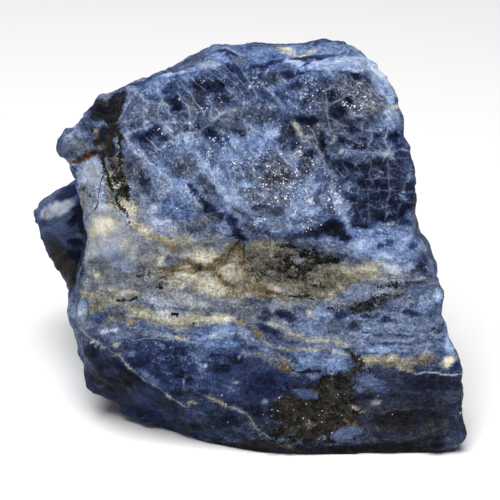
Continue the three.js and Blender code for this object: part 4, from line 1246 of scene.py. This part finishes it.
# %% Foot, and the swells of the outline
groove("second crease", 0.5, 0.35, [(-8.9, -31.4), (-3, -33.5), (0, -36.4), (3.5, -40)])
dabs("net", [(60, -17, -23, 9, 5)])
upper_face, dark_right = stroke(0, 24, 30, 14), stroke(26, 11, 9, 8)
blend_in("net", 0.5, upper_face * (1 - dark_right) * turned_to_viewer)
for swelling in [
    (-1, 2, -40.5, 24.5), (-0.6, 1.5, -37, 26.3), (0.8, 2, -31, 31.5), (-0.9, 2, -22.5, 36.6),
    (-0.7, 2, -44.3, 4.5), (0.6, 2, -5, 42.6), (1.2, 1.5, 20.5, 42.2), (-0.9, 1.5, 25, 40.8),
    (-0.8, 2, 32.8, 24.5), (0.7, 2, 33.7, 17), (0.6, 2, 34.2, 12.5), (-1, 1.8, 36.3, 4),
    (-0.8, 2, 41, -14), (-1.2, 2.4, 42.8, -18), (1, 1.6, 43.6, -25.6),
]:
    swell(*swelling)
print("foot painted; cream covers", round(100 * (paint["cream"] > 0.5).mean(), 1), "% of the skin")

# %% Where the painted glints go
dabs("glint", [
    (100, 1.4, 34.4, 1.8, 0.9), (80, 1.6, 36, 1.2, 0.8), (100, 3.2, 37, 0.5, 0.4),
    (100, 7.6, 32.5, 0.7, 0.4), (80, 12.2, 34.6, 2, 0.9), (70, 12, 31.4, 1.8, 1.6),
    (70, 14.2, 32.6, 0.7, 0.8), (100, -14.7, 31.2, 1.1, 0.4), (80, -9, 34.7, 2.2, 0.4),
    (90, -6.4, 30.7, 1, 0.4), (90, -9.2, 28.4, 1.4, 0.5), (80, -12.4, 26.2, 1.2, 0.6),
    (70, -5.2, 35.2, 0.4, 0.6), (100, 4.6, 26.7, 1.2, 0.6), (90, 7.1, 26, 0.8, 0.4),
    (80, 1.2, 27.6, 1.4, 0.5), (70, -2.4, 29, 0.6, 0.3), (80, 13.6, 26, 1.2, 0.5),
    (90, -6.8, 22.8, 1.6, 1), (80, -5.2, 24, 0.8, 0.6), (90, -8.6, 19.8, 1.1, 0.9),
    (50, -13.4, 22.6, 1.2, 1), (55, 4.5, 17.4, 3.4, 2.8), (60, 11.8, 17.8, 1.8, 2.6),
    (70, 10, 21, 1.4, 1.2), (50, 7.2, 22.6, 1, 1.4), (50, -2.4, 17.4, 2, 1.6),
    (50, 3.2, 12.4, 4.4, 4), (60, 9, 13, 3.2, 3.4), (100, 12.3, 10.2, 1.2, 0.8),
    (100, 1.8, 6.4, 1.3, 0.9), (100, 7.9, 6.2, 0.5, 0.9), (55, 11.4, 6.6, 3, 2.4),
    (60, -14.4, 8.8, 1.2, 0.8), (60, 21, 31.6, 3.4, 2.6), (90, 23.2, 29.6, 0.6, 0.4),
    (40, 27.6, 25.4, 1.4, 1), (50, 22.4, 21.6, 1.2, 0.5), (40, 17, 12, 2, 4),
    (40, 16.6, 2.2, 1.2, 0.6), (30, -19, 24, 1.6, 1.2), (7, 14, -34, 8, 5), (3, 0, -32, 8, 5),
    (2, 33, -35, 10, 5), (40, 36.2, -3.8, 1, 1.4), (30, -30, 12.6, 5, 1.6),
])
dabs("lean", [(100, 0, 23, 38, 18)])
dabs("calm", [
    (80, -42, 4, 6.5, 13), (80, -30.5, 4, 4, 4.4), (60, -28, 0, 4, 4), (50, -33.5, 16, 2.5, 3),
    (40, 33, -34, 12, 8), (85, -27, -28.6, 9, 6), (35, 0, -29, 9, 7), (25, 5, 12, 10, 7),
])
print("glints:", int((paint["glint"] > 0).sum()), "points")

# %% The paint on the mesh
for name, values in paint.items():
    stone.data.attributes.new(name, "FLOAT", "POINT").data.foreach_set("value", values)
for name, values in pens.items():
    drawn_lines = stone.data.attributes.new(name, "FLOAT_VECTOR", "POINT")
    drawn_lines.data.foreach_set("vector", values.ravel())
print("painted fields:", ", ".join([*paint, *pens]))

# %% [markdown]
# ## Lifting the skin
#
# The collected heights go into vertex groups, and a Displace modifier moves every point along
# its normal by its weight, as a sculpting brush would under a mask. Weights can't be negative, so
# the raised and the sunk points are two groups with a modifier each. The flat spot underneath keeps
# its place, because the stone stands on it.

# %% One displacement from all heights
REACH = 2.2 * MM
FLAT_SPOT = 0.1 * MM
FLAT_SPOT_CLEAR = 1.5 * MM

clear_of_base = np.clip((places[:, 2] - FLAT_SPOT) / FLAT_SPOT_CLEAR, 0, 1)
heights = sum(relief.values()) * clear_of_base
for name, sign in (("raised", 1), ("sunk", -1)):
    levels = np.round(np.clip(sign * heights / REACH, 0, 1), 3)
    mask = stone.vertex_groups.new(name=name)
    for level in np.unique(levels[levels > 0]):
        mask.add(np.flatnonzero(levels == level).tolist(), float(level), "REPLACE")
    push = stone.modifiers.new(name, "DISPLACE")
    push.vertex_group = name
    push.mid_level = 0
    push.strength = sign * REACH
    bpy.ops.object.modifier_apply(modifier=push.name)
stone.vertex_groups.clear()
print("relief from", round(heights.min() / MM, 2), "to", round(heights.max() / MM, 2), "mm")

# %% [markdown]
# ## The rock's own grain
#
# The material is built from a few node groups. The first makes the noise that everything else
# shares. It reads Object coordinates and turns them into millimetres along the broad face, so one
# scale fits all. Clouds are centimetre wide, mottling a few millimetres, grain a few tenths. Two
# stretched noises make fibres, one along the layers and one down to the right, and a painted mask
# chooses between them. Threads are thin pale lines that appear where a stretched noise passes its
# middle value.

# %% Helpers for nodes
MIDDLE = 0.5


def put(tree, kind, inputs=None, **settings):
    """Adds a node. Inputs that are sockets are linked, and others are typed in."""
    node = tree.nodes.new("ShaderNode" + kind)
    for name, value in settings.items():
        setattr(node, name, value)
    for name, value in (inputs or {}).items():
        if isinstance(value, bpy.types.NodeSocket):
            tree.links.new(value, node.inputs[name])
        else:
            node.inputs[name].default_value = value
    return node


def calc(tree, operation, a, b=0.0, c=0.0, clamp=False):
    """A Math node's result."""
    return put(tree, "Math", {0: a, 1: b, 2: c}, operation=operation, use_clamp=clamp).outputs[0]


def times(tree, a, b):
    """One value times another."""
    return calc(tree, "MULTIPLY", a, b)


def add_share(tree, value, share, total, clamp=False):
    """The total with a share of a value added to it."""
    return calc(tree, "MULTIPLY_ADD", value, share, total, clamp)


def off_middle(tree, value):
    """How far a noise is above or below its middle value."""
    return calc(tree, "SUBTRACT", value, MIDDLE)


def shift(tree, operation, a, b):
    """A Vector Math node's vector."""
    second = "Scale" if operation == "SCALE" else 1
    return put(tree, "VectorMath", {0: a, second: b}, operation=operation).outputs[0]


def blend_colours(tree, amount, under, over):
    """A colour Mix node's result."""
    return put(tree, "Mix", {0: amount, 6: under, 7: over}, data_type="RGBA").outputs[2]


def spread(tree, value, low, high, new_low=0.0, new_high=1.0, kind="SMOOTHSTEP"):
    """A Map Range node's result, clamped."""
    ends = {0: value, 1: low, 2: high, 3: new_low, 4: new_high}
    return put(tree, "MapRange", ends, interpolation_type=kind).outputs[0]


def start_group(name, ins, outs):
    """A node group with named sockets: ins and outs are (kind, name) pairs."""
    group = bpy.data.node_groups.new(name, "ShaderNodeTree")
    for way, sockets in (("INPUT", ins), ("OUTPUT", outs)):
        for kind, label in sockets:
            group.interface.new_socket(label, in_out=way, socket_type="NodeSocket" + kind)
    way_in = group.nodes.new("NodeGroupInput")
    way_out = group.nodes.new("NodeGroupOutput")
    return group, way_in.outputs, way_out.inputs


def use_group(tree, group, inputs):
    """Places a group in a tree and returns its outputs."""
    return put(tree, "Group", inputs, node_tree=group).outputs


print("node helpers ready")

# %% Shared noise: clouds, mottling and grain
FACE_TURN = (LOOK_DOWN - math.pi / 2, 0, 0)
ROCK_PARTS = ("Clouds", "Mottle", "Grain", "Ragged", "Fibre", "Threads")
NOISES = {  # size in mm, detail, roughness
    "Clouds": (6.0, 3, 0.55),
    "Mottle": (1.7, 5, 0.65),
    "Grain": (0.38, 3, 0.70),
    "Ragged": (2.6, 8, 0.72),
}
NOISE_TWIST = 0.3

rock_noise, noise_in, noise_out = start_group(
    "rock noise", [("Float", "Lean")], [("Vector", "Place")] + [("Float", n) for n in ROCK_PARTS]
)
own_place = put(rock_noise, "TexCoord").outputs["Object"]
to_face_mm = {"Vector": own_place, "Rotation": FACE_TURN, "Scale": (1 / MM,) * 3}
face_place = put(rock_noise, "Mapping", to_face_mm).outputs[0]
for label, (size, detail, rough) in NOISES.items():
    noise_values = {"Vector": face_place, "Scale": 1 / size, "Detail": detail}
    noise_values.update({"Roughness": rough, "Distortion": NOISE_TWIST})
    rock_noise.links.new(put(rock_noise, "TexNoise", noise_values).outputs[0], noise_out[label])
rock_noise.links.new(face_place, noise_out["Place"])
print("rock noise outputs:", [s.name for s in noise_out if s.name])

# %% Shared noise: fibres and threads
FIBRE_DEEP = 2.5
FIBRE_ROUGH = 0.62
FIBRE_TWIST = 0.25
# Each pair is along the layers and leaning: direction in degrees, length and width in mm.
FIBRES = ((-6, 4.5, 0.7), (-52, 4.0, 0.7))
THREADS = (((-9, 4.6, 1.5), (-52, 5.0, 1.5)), ((24, 3.6, 2.4), (-108, 4.2, 2.4)))
FIBRE_DETAIL, THREAD_DETAIL = 4, 2
THREAD_GLOW = (0.09, 0.35)
THREAD_CORE = (0.022, 0.65)


def drawn_out(turn, length, width, detail):
    """Noise stretched along a direction on the face."""
    face_turn = {"Vector": face_place, "Rotation": (0, 0, math.radians(-turn))}
    turned = put(rock_noise, "Mapping", face_turn).outputs[0]
    stretch = {"Vector": turned, "Scale": (1 / length, 1 / width, 1 / FIBRE_DEEP)}
    noise_values = {"Vector": put(rock_noise, "Mapping", stretch).outputs[0], "Scale": 1.0}
    noise_values.update({"Detail": detail, "Roughness": FIBRE_ROUGH, "Distortion": FIBRE_TWIST})
    return put(rock_noise, "TexNoise", noise_values).outputs[0]


def along_or_leaning(pair, detail):
    """One noise along the layers and one leaning, mixed by the painted lean."""
    level, leaning = (drawn_out(*direction, detail) for direction in pair)
    both = {0: noise_in["Lean"], 2: level, 3: leaning}
    return put(rock_noise, "Mix", both, data_type="FLOAT").outputs[0]


rock_noise.links.new(along_or_leaning(FIBRES, FIBRE_DETAIL), noise_out["Fibre"])
threads = 0.0
for pair in THREADS:
    off = off_middle(rock_noise, along_or_leaning(pair, THREAD_DETAIL))
    off = calc(rock_noise, "ABSOLUTE", off)
    glow = spread(rock_noise, off, 0.0, THREAD_GLOW[0], 1.0, 0.0)
    core = spread(rock_noise, off, 0.0, THREAD_CORE[0], 1.0, 0.0)
    core = times(rock_noise, core, THREAD_CORE[1])
    glowing = add_share(rock_noise, glow, THREAD_GLOW[1], core)
    threads = calc(rock_noise, "MAXIMUM", threads, glowing)
rock_noise.links.new(threads, noise_out["Threads"])
print("rock noise group has", len(rock_noise.nodes), "nodes")

# %% [markdown]
# ## Rock of every kind from one tone
#
# Sodalite is a patchwork of dark cells between pale hazy seams. A Voronoi texture gives the
# distance to the nearest seam, a shade for each cell and a slope across it, and a little noise
# bends its straight edges first. All of this is added up to one number, the tone. Five colour ramps
# turn the tone into rock: sodalite blue, slate grey, cream, olive tan and rust. Cream, olive and
# rust are mixed in as soft hues with frayed edges, and grain and veins run on through them, as they
# do in a real stone, where a pasted patch would look like a sticker.

# %% Seams between cells
WOBBLE = {"Scale": 0.5, "Detail": 2, "Roughness": 0.5}
HALF = (MIDDLE,) * 3

seams, seams_in, seams_out = start_group(
    "seams",
    [("Vector", "Place"), ("Float", "Size"), ("Float", "Bend"), ("Float", "Width")],
    [("Float", "Seam"), ("Float", "Shade"), ("Float", "Tilt")],
)
fine = calc(seams, "DIVIDE", 1.0, seams_in["Size"])
wobble = put(seams, "TexNoise", {"Vector": seams_in["Place"], **WOBBLE}).outputs[1]
wobble = shift(seams, "SCALE", shift(seams, "SUBTRACT", wobble, HALF), seams_in["Bend"])
bent = {"Vector": shift(seams, "ADD", seams_in["Place"], wobble), "Scale": fine}
border = put(seams, "TexVoronoi", bent, feature="DISTANCE_TO_EDGE").outputs["Distance"]
cell = put(seams, "TexVoronoi", bent, feature="F1").outputs
own_tilt = shift(seams, "SUBTRACT", cell["Color"], HALF)
from_seed = shift(seams, "SUBTRACT", shift(seams, "SCALE", bent["Vector"], fine), cell["Position"])
tilt = put(seams, "VectorMath", {0: from_seed, 1: own_tilt}, operation="DOT_PRODUCT")
seams.links.new(spread(seams, border, 0.0, seams_in["Width"], 1.0, 0.0), seams_out["Seam"])
seams.links.new(put(seams, "SeparateColor", {0: cell["Color"]}).outputs[0], seams_out["Shade"])
seams.links.new(tilt.outputs["Value"], seams_out["Tilt"])
print("seams group has", len(seams.nodes), "nodes")

# %% Rock colours
TONES = (0.00, 0.14, 0.27, 0.40, 0.52, 0.64, 0.78, 0.94)
RAMPS = {
    "blue": [
        (0.0022, 0.0031, 0.0080), (0.0072, 0.0101, 0.030), (0.0150, 0.0246, 0.074),
        (0.032, 0.0562, 0.145), (0.0765, 0.1230, 0.262), (0.158, 0.238, 0.446),
        (0.290, 0.392, 0.640), (0.575, 0.662, 0.806),
    ],
    "grey": [
        (0.0022, 0.0023, 0.0028), (0.0080, 0.0088, 0.0118), (0.0212, 0.0238, 0.0315),
        (0.050, 0.0555, 0.069), (0.106, 0.116, 0.138), (0.200, 0.217, 0.250),
        (0.358, 0.378, 0.414), (0.645, 0.658, 0.672),
    ],
    "cream": [
        (0.0023, 0.0020, 0.0014), (0.0100, 0.0092, 0.0068), (0.029, 0.026, 0.0185),
        (0.068, 0.063, 0.046), (0.134, 0.127, 0.098), (0.242, 0.230, 0.182),
        (0.438, 0.418, 0.338), (0.780, 0.745, 0.620),
    ],
    "olive": [
        (0.0022, 0.0017, 0.0011), (0.0105, 0.0082, 0.0050), (0.032, 0.0245, 0.0145),
        (0.077, 0.0585, 0.0345), (0.160, 0.124, 0.074), (0.276, 0.222, 0.136),
        (0.465, 0.400, 0.264), (0.760, 0.690, 0.500),
    ],
    "rust": [
        (0.0020, 0.0010, 0.0008), (0.0090, 0.0045, 0.0034), (0.028, 0.013, 0.009),
        (0.070, 0.030, 0.018), (0.170, 0.075, 0.035), (0.360, 0.170, 0.070),
        (0.560, 0.300, 0.140), (0.800, 0.520, 0.300),
    ],
}


def ramp_of(tree, value, kind):
    """The colour that a kind of rock has at a tone."""
    ramp = put(tree, "ValToRGB", {0: value})
    for place in TONES[1:-1]:
        ramp.color_ramp.elements.new(place)
    for stop, place, colour in zip(ramp.color_ramp.elements, TONES, RAMPS[kind]):
        stop.position = place
        stop.color = (*colour, 1)
    return ramp.outputs[0]


print("ramps for", ", ".join(RAMPS))

# %% Veined rock: the tone
TONE_SHARES = {"Clouds": 0.15, "Mottle": 0.20, "Grain": 0.62, "Fibre": 0.34}
NET_BREAKS = (0.47, 0.58)
# Size, bend and width of the seams, how much lighter they are, and how much their cells differ.
SEAM_LAYERS = (
    (3.2, 1.3, 0.035, 0.40, 0.10), (1.25, 0.6, 0.055, 0.26, 0.10), (0.42, 0.2, 0.1, 0.0, 0.14)
)
SPARKLE_SHARE = 0.30
THREAD_SHARE = 0.38
CALMING = -0.8
ROCK_IN = ("Tone", "Grey", "Cream", "Olive", "Rust", "Net", "Calm", "Sparkle") + ROCK_PARTS

veined_rock, rock_in, rock_out = start_group(
    "veined rock", [("Vector", "Place")] + [("Float", n) for n in ROCK_IN], [("Color", "Color")]
)
tone = 0.0
for part, share in TONE_SHARES.items():
    tone = add_share(veined_rock, off_middle(veined_rock, rock_in[part]), share, tone)
broken = spread(veined_rock, rock_in["Ragged"], *NET_BREAKS)
broken = times(veined_rock, rock_in["Net"], broken)
for size, bend_by, width, gain, patchy in SEAM_LAYERS:
    seam_values = {"Place": rock_in["Place"], "Size": size, "Bend": bend_by, "Width": width}
    seam = use_group(veined_rock, seams, seam_values)
    if gain:
        tone = add_share(veined_rock, times(veined_rock, seam["Seam"], broken), gain, tone)
    tone = add_share(veined_rock, off_middle(veined_rock, seam["Shade"]), patchy, tone)
flicker = times(veined_rock, off_middle(veined_rock, seam["Shade"]), rock_in["Sparkle"])
tone = add_share(veined_rock, flicker, SPARKLE_SHARE, tone)
netted = times(veined_rock, rock_in["Threads"], broken)
tone = add_share(veined_rock, netted, THREAD_SHARE, tone)
lively = add_share(veined_rock, rock_in["Calm"], CALMING, 1.0)
tone = add_share(veined_rock, tone, lively, rock_in["Tone"])
print("the tone takes", len(veined_rock.nodes), "nodes")

# %% Veined rock: the colour
GREY_CLOUDS = 0.5
GREY_FRAY = 1.0
FRAYS = {"cream": 0.9, "olive": 1.1, "rust": 1.3}
COVERS = (0.2, 0.7)
COVERS_FROM = (0.02, 0.3)

ragged = off_middle(veined_rock, rock_in["Ragged"])
cloudy = off_middle(veined_rock, rock_in["Clouds"])
greyness = add_share(veined_rock, cloudy, GREY_CLOUDS, rock_in["Grey"])
greyness = add_share(veined_rock, ragged, GREY_FRAY, greyness, clamp=True)
blue_rock, grey_rock = (ramp_of(veined_rock, tone, kind) for kind in ("blue", "grey"))
rock_colour = blend_colours(veined_rock, greyness, blue_rock, grey_rock)
for kind, fray_by in FRAYS.items():
    painted_cover = rock_in[kind.title()]
    cover = spread(veined_rock, add_share(veined_rock, ragged, fray_by, painted_cover), *COVERS)
    cover = times(veined_rock, cover, spread(veined_rock, painted_cover, *COVERS_FROM))
    rock_colour = blend_colours(veined_rock, cover, rock_colour, ramp_of(veined_rock, tone, kind))
veined_rock.links.new(rock_colour, rock_out["Color"])
print("veined rock group has", len(veined_rock.nodes), "nodes")

# %% [markdown]
# ## Soot, hairlines and painted glints
#
# Only the soot is a crust with a crisp edge. Adding fractal noise to its painted weight before a
# steep threshold makes that edge ragged, with loose crumbs beside it. A hairline is drawn from its
# signed distance: the value is near zero only on the line, so it stays thinner than the mesh could
# show, and a noise breaks it here and there. The glints are painted highlights: a Voronoi texture of
# tiny cells, of which a few are painted rosy to white in the colour, so they shine whatever the
# light.

# %% Sooty crust
EDGE_NOISE = (0.32, 0.68)
CRUST_FROM = (0.02, 0.25)

crust, crust_in, crust_out = start_group(
    "sooty crust",
    [("Color", "Under"), ("Float", "Weight"), ("Float", "Edge noise")]
    + [("Float", "Raggedness"), ("Float", "Softness"), ("Color", "Own")],
    [("Color", "Color"), ("Float", "Mask")],
)
threshold = spread(crust, crust_in["Edge noise"], *EDGE_NOISE, -0.5, 0.5, kind="LINEAR")
threshold = add_share(crust, threshold, crust_in["Raggedness"], MIDDLE)
above = calc(crust, "SUBTRACT", crust_in["Weight"], threshold)
seen = spread(crust, above, times(crust, crust_in["Softness"], -1.0), crust_in["Softness"])
seen = times(crust, seen, spread(crust, crust_in["Weight"], *CRUST_FROM))
sooted = blend_colours(crust, seen, crust_in["Under"], crust_in["Own"])
crust.links.new(sooted, crust_out["Color"])
crust.links.new(seen, crust_out["Mask"])
print("sooty crust group has", len(crust.nodes), "nodes")

# %% Hairline
HAIR_WOBBLE = 3.2
HAIR_EDGE = (0.2, 2.0)
HAIR_BREAKS = (0.40, 0.56)
HAIR_FAINT = 0.35

hairline, hair_in, hair_out = start_group(
    "hairline",
    [("Color", "Under"), ("Vector", "Pen"), ("Float", "Wobble"), ("Float", "Breaks")]
    + [("Color", "Own")],
    [("Color", "Color")],
)
off_line, near_line, strength = put(hairline, "SeparateXYZ", {0: hair_in["Pen"]}).outputs
off = add_share(hairline, off_middle(hairline, hair_in["Wobble"]), HAIR_WOBBLE, off_line)
seen = spread(hairline, calc(hairline, "ABSOLUTE", off), *HAIR_EDGE, 1.0, 0.0)
fade = times(hairline, strength, spread(hairline, hair_in["Breaks"], *HAIR_BREAKS, HAIR_FAINT))
seen = times(hairline, seen, times(hairline, near_line, fade))
lined = blend_colours(hairline, seen, hair_in["Under"], hair_in["Own"])
hairline.links.new(lined, hair_out["Color"])
print("hairline group has", len(hairline.nodes), "nodes")

# %% Painted glints
PAINTED_GLINT_CLUSTERS = (0.47, 0.62)
PAINTED_GLINT_ELSEWHERE = 0.06
# Size in mm, how many are painted as glints, and how much of its cell a painted glint fills.
PAINTED_GLINT_GRAINS = ((0.30, 0.50, 0.46), (0.56, 0.15, 0.40))
ROSY_PAINTED_GLINT, WHITE_PAINTED_GLINT = (0.92, 0.74, 0.66, 1), (1.0, 1.0, 1.0, 1)

painted_glints, painted_glints_in, painted_glints_out = start_group(
    "painted_glints",
    [("Vector", "Place"), ("Float", "Amount"), ("Float", "Cluster")],
    [("Float", "Mask"), ("Color", "Own")],
)
chance = spread(painted_glints, painted_glints_in["Cluster"], *PAINTED_GLINT_CLUSTERS, PAINTED_GLINT_ELSEWHERE)
chance = times(painted_glints, painted_glints_in["Amount"], chance)
glints = 0.0
for size, odds, share in PAINTED_GLINT_GRAINS:
    grains = put(painted_glints, "TexVoronoi", {"Vector": painted_glints_in["Place"], "Scale": 1 / size})
    luck = put(painted_glints, "SeparateColor", {0: grains.outputs["Color"]}).outputs
    lit = calc(painted_glints, "GREATER_THAN", add_share(painted_glints, chance, odds, luck[0]), 1.0)
    small = calc(painted_glints, "LESS_THAN", grains.outputs["Distance"], share)
    glints = calc(painted_glints, "MAXIMUM", glints, times(painted_glints, lit, small))
painted_glints.links.new(glints, painted_glints_out["Mask"])
painted_glint_colour = blend_colours(painted_glints, luck[2], ROSY_PAINTED_GLINT, WHITE_PAINTED_GLINT)
painted_glints.links.new(painted_glint_colour, painted_glints_out["Own"])
print("glitter group has", len(painted_glints.nodes), "nodes")

# %% [markdown]
# ## Putting the finish together
#
# The finish starts with the veined rock. The soot goes over it, then pepper, which is fine black
# specks, then the hairlines, one pen after another, and last the painted glints, near-white spots
# painted into the colour as highlights. Broken stone is satin: rough where it's sooty or cream,
# smoother on blue grains, and smoothest on a painted glint. The bump adds the tilt of each small
# grain, which is below the size of the mesh.

# %% Colour: rock and soot
SOOT_EDGE_GAIN = 1.8
SOOT_RAGGED, SOOT_SOFT = 0.9, 0.16
SOOT_CRUMBS = (0.4, 0.62)
SOOT, SOOT_DUST = (0.003, 0.003, 0.003, 1), (0.050, 0.048, 0.042, 1)

finish = bpy.data.materials.new("veined sodalite")
finish.use_nodes = True
tree = finish.node_tree
shader = tree.nodes["Principled BSDF"]


def painted(name, kind="Fac"):
    """What is painted on the skin under a name."""
    return put(tree, "Attribute", attribute_name=name).outputs[kind]


rock = use_group(tree, rock_noise, {"Lean": painted("lean")})
rock_values = {n.title(): painted(n) for n in ("tone", "grey", *HUES, "net", "calm")}
rock_values.update({part: rock[part] for part in ROCK_PARTS})
rock_values.update({"Place": rock["Place"], "Sparkle": painted("glint")})
veined = use_group(tree, veined_rock, rock_values)
crumbs = add_share(tree, rock["Mottle"], 0.5, times(tree, rock["Grain"], 0.5))
crumb_edge = add_share(tree, off_middle(tree, crumbs), SOOT_EDGE_GAIN, MIDDLE)
soot_values = {"Under": veined["Color"], "Weight": painted("black"), "Edge noise": crumb_edge}
soot_values.update({"Raggedness": SOOT_RAGGED, "Softness": SOOT_SOFT})
soot_values["Own"] = blend_colours(tree, spread(tree, crumbs, *SOOT_CRUMBS), SOOT, SOOT_DUST)
sooty = use_group(tree, crust, soot_values)
print("rock and soot take", len(tree.nodes), "nodes")

# %% Colour: pepper, hairlines and painted glints
PEPPER = (0.014, 0.013, 0.012, 1)
PEPPER_SHARE = 0.30
PEPPER_EDGE = (0.74, 0.80)
PEPPER_FROM = (0.0, 0.3)
LINES = {
    "white": (0.42, 0.50, 0.66, 1),
    "cream": (0.66, 0.62, 0.50, 1),
    "dark": (0.010, 0.008, 0.007, 1),
}

specks = add_share(tree, rock["Ragged"], 0.5, times(tree, rock["Grain"], 0.5))
pepper = spread(tree, add_share(tree, painted("pepper"), PEPPER_SHARE, specks), *PEPPER_EDGE)
pepper = times(tree, pepper, spread(tree, painted("pepper"), *PEPPER_FROM))
colour = blend_colours(tree, pepper, sooty["Color"], PEPPER)
for pen in pens:
    pen_values = {"Under": colour, "Pen": painted(pen, "Vector"), "Own": LINES[pen.split()[0]]}
    pen_values.update({"Wobble": rock["Grain"], "Breaks": rock["Mottle"]})
    colour = use_group(tree, hairline, pen_values)["Color"]
# Painted glints: rosy to white spots laid into the base colour as painted highlights.
painted_glint_values = {"Place": rock["Place"], "Amount": painted("glint"), "Cluster": rock["Mottle"]}
painted_sparks = use_group(tree, painted_glints, painted_glint_values)
colour = blend_colours(tree, painted_sparks["Mask"], colour, painted_sparks["Own"])
tree.links.new(colour, shader.inputs["Base Color"])
print(len(pens), "pens drawn")

# %% Roughness and bump
SATIN = (0.38, 0.62)
GRAIN_MIDDLE = (0.3, 0.7)
MATTE_SHARE = 0.22
GLINT_GLOSS = -0.35
BUMP_RAGGED, BUMP_GRAIN = 0.7, 0.35
FLAKES = ((1.1, 0.6, 1.3), (0.5, 0.3, 0.7))
FLAKE_WIDTH = 0.1
CRUST_SINKS = -0.25
BUMP_STRENGTH = 0.9
BUMP_HEIGHT = 0.25 * MM
SPECULAR = 0.05

matte = calc(tree, "MAXIMUM", painted("cream"), sooty["Mask"])
gloss = spread(tree, rock["Grain"], *GRAIN_MIDDLE, *SATIN)
gloss = add_share(tree, matte, MATTE_SHARE, gloss)
gloss = add_share(tree, painted_sparks["Mask"], GLINT_GLOSS, gloss, clamp=True)
tree.links.new(gloss, shader.inputs["Roughness"])
height = add_share(tree, rock["Ragged"], BUMP_RAGGED, times(tree, rock["Grain"], BUMP_GRAIN))
for size, bend_by, slant in FLAKES:
    flake_values = {"Place": rock["Place"], "Size": size, "Bend": bend_by, "Width": FLAKE_WIDTH}
    height = add_share(tree, use_group(tree, seams, flake_values)["Tilt"], slant, height)
height = add_share(tree, sooty["Mask"], CRUST_SINKS, height)
bump = put(tree, "Bump", {"Height": height, "Strength": BUMP_STRENGTH, "Distance": BUMP_HEIGHT})
tree.links.new(bump.outputs[0], shader.inputs["Normal"])
shader.inputs["Specular IOR Level"].default_value = SPECULAR
stone.data.materials.append(finish)
stone.data.shade_smooth()
print("finish has", len(tree.nodes), "nodes in its top tree")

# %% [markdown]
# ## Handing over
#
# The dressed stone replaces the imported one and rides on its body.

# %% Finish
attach(stone, "root")
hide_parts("stone")
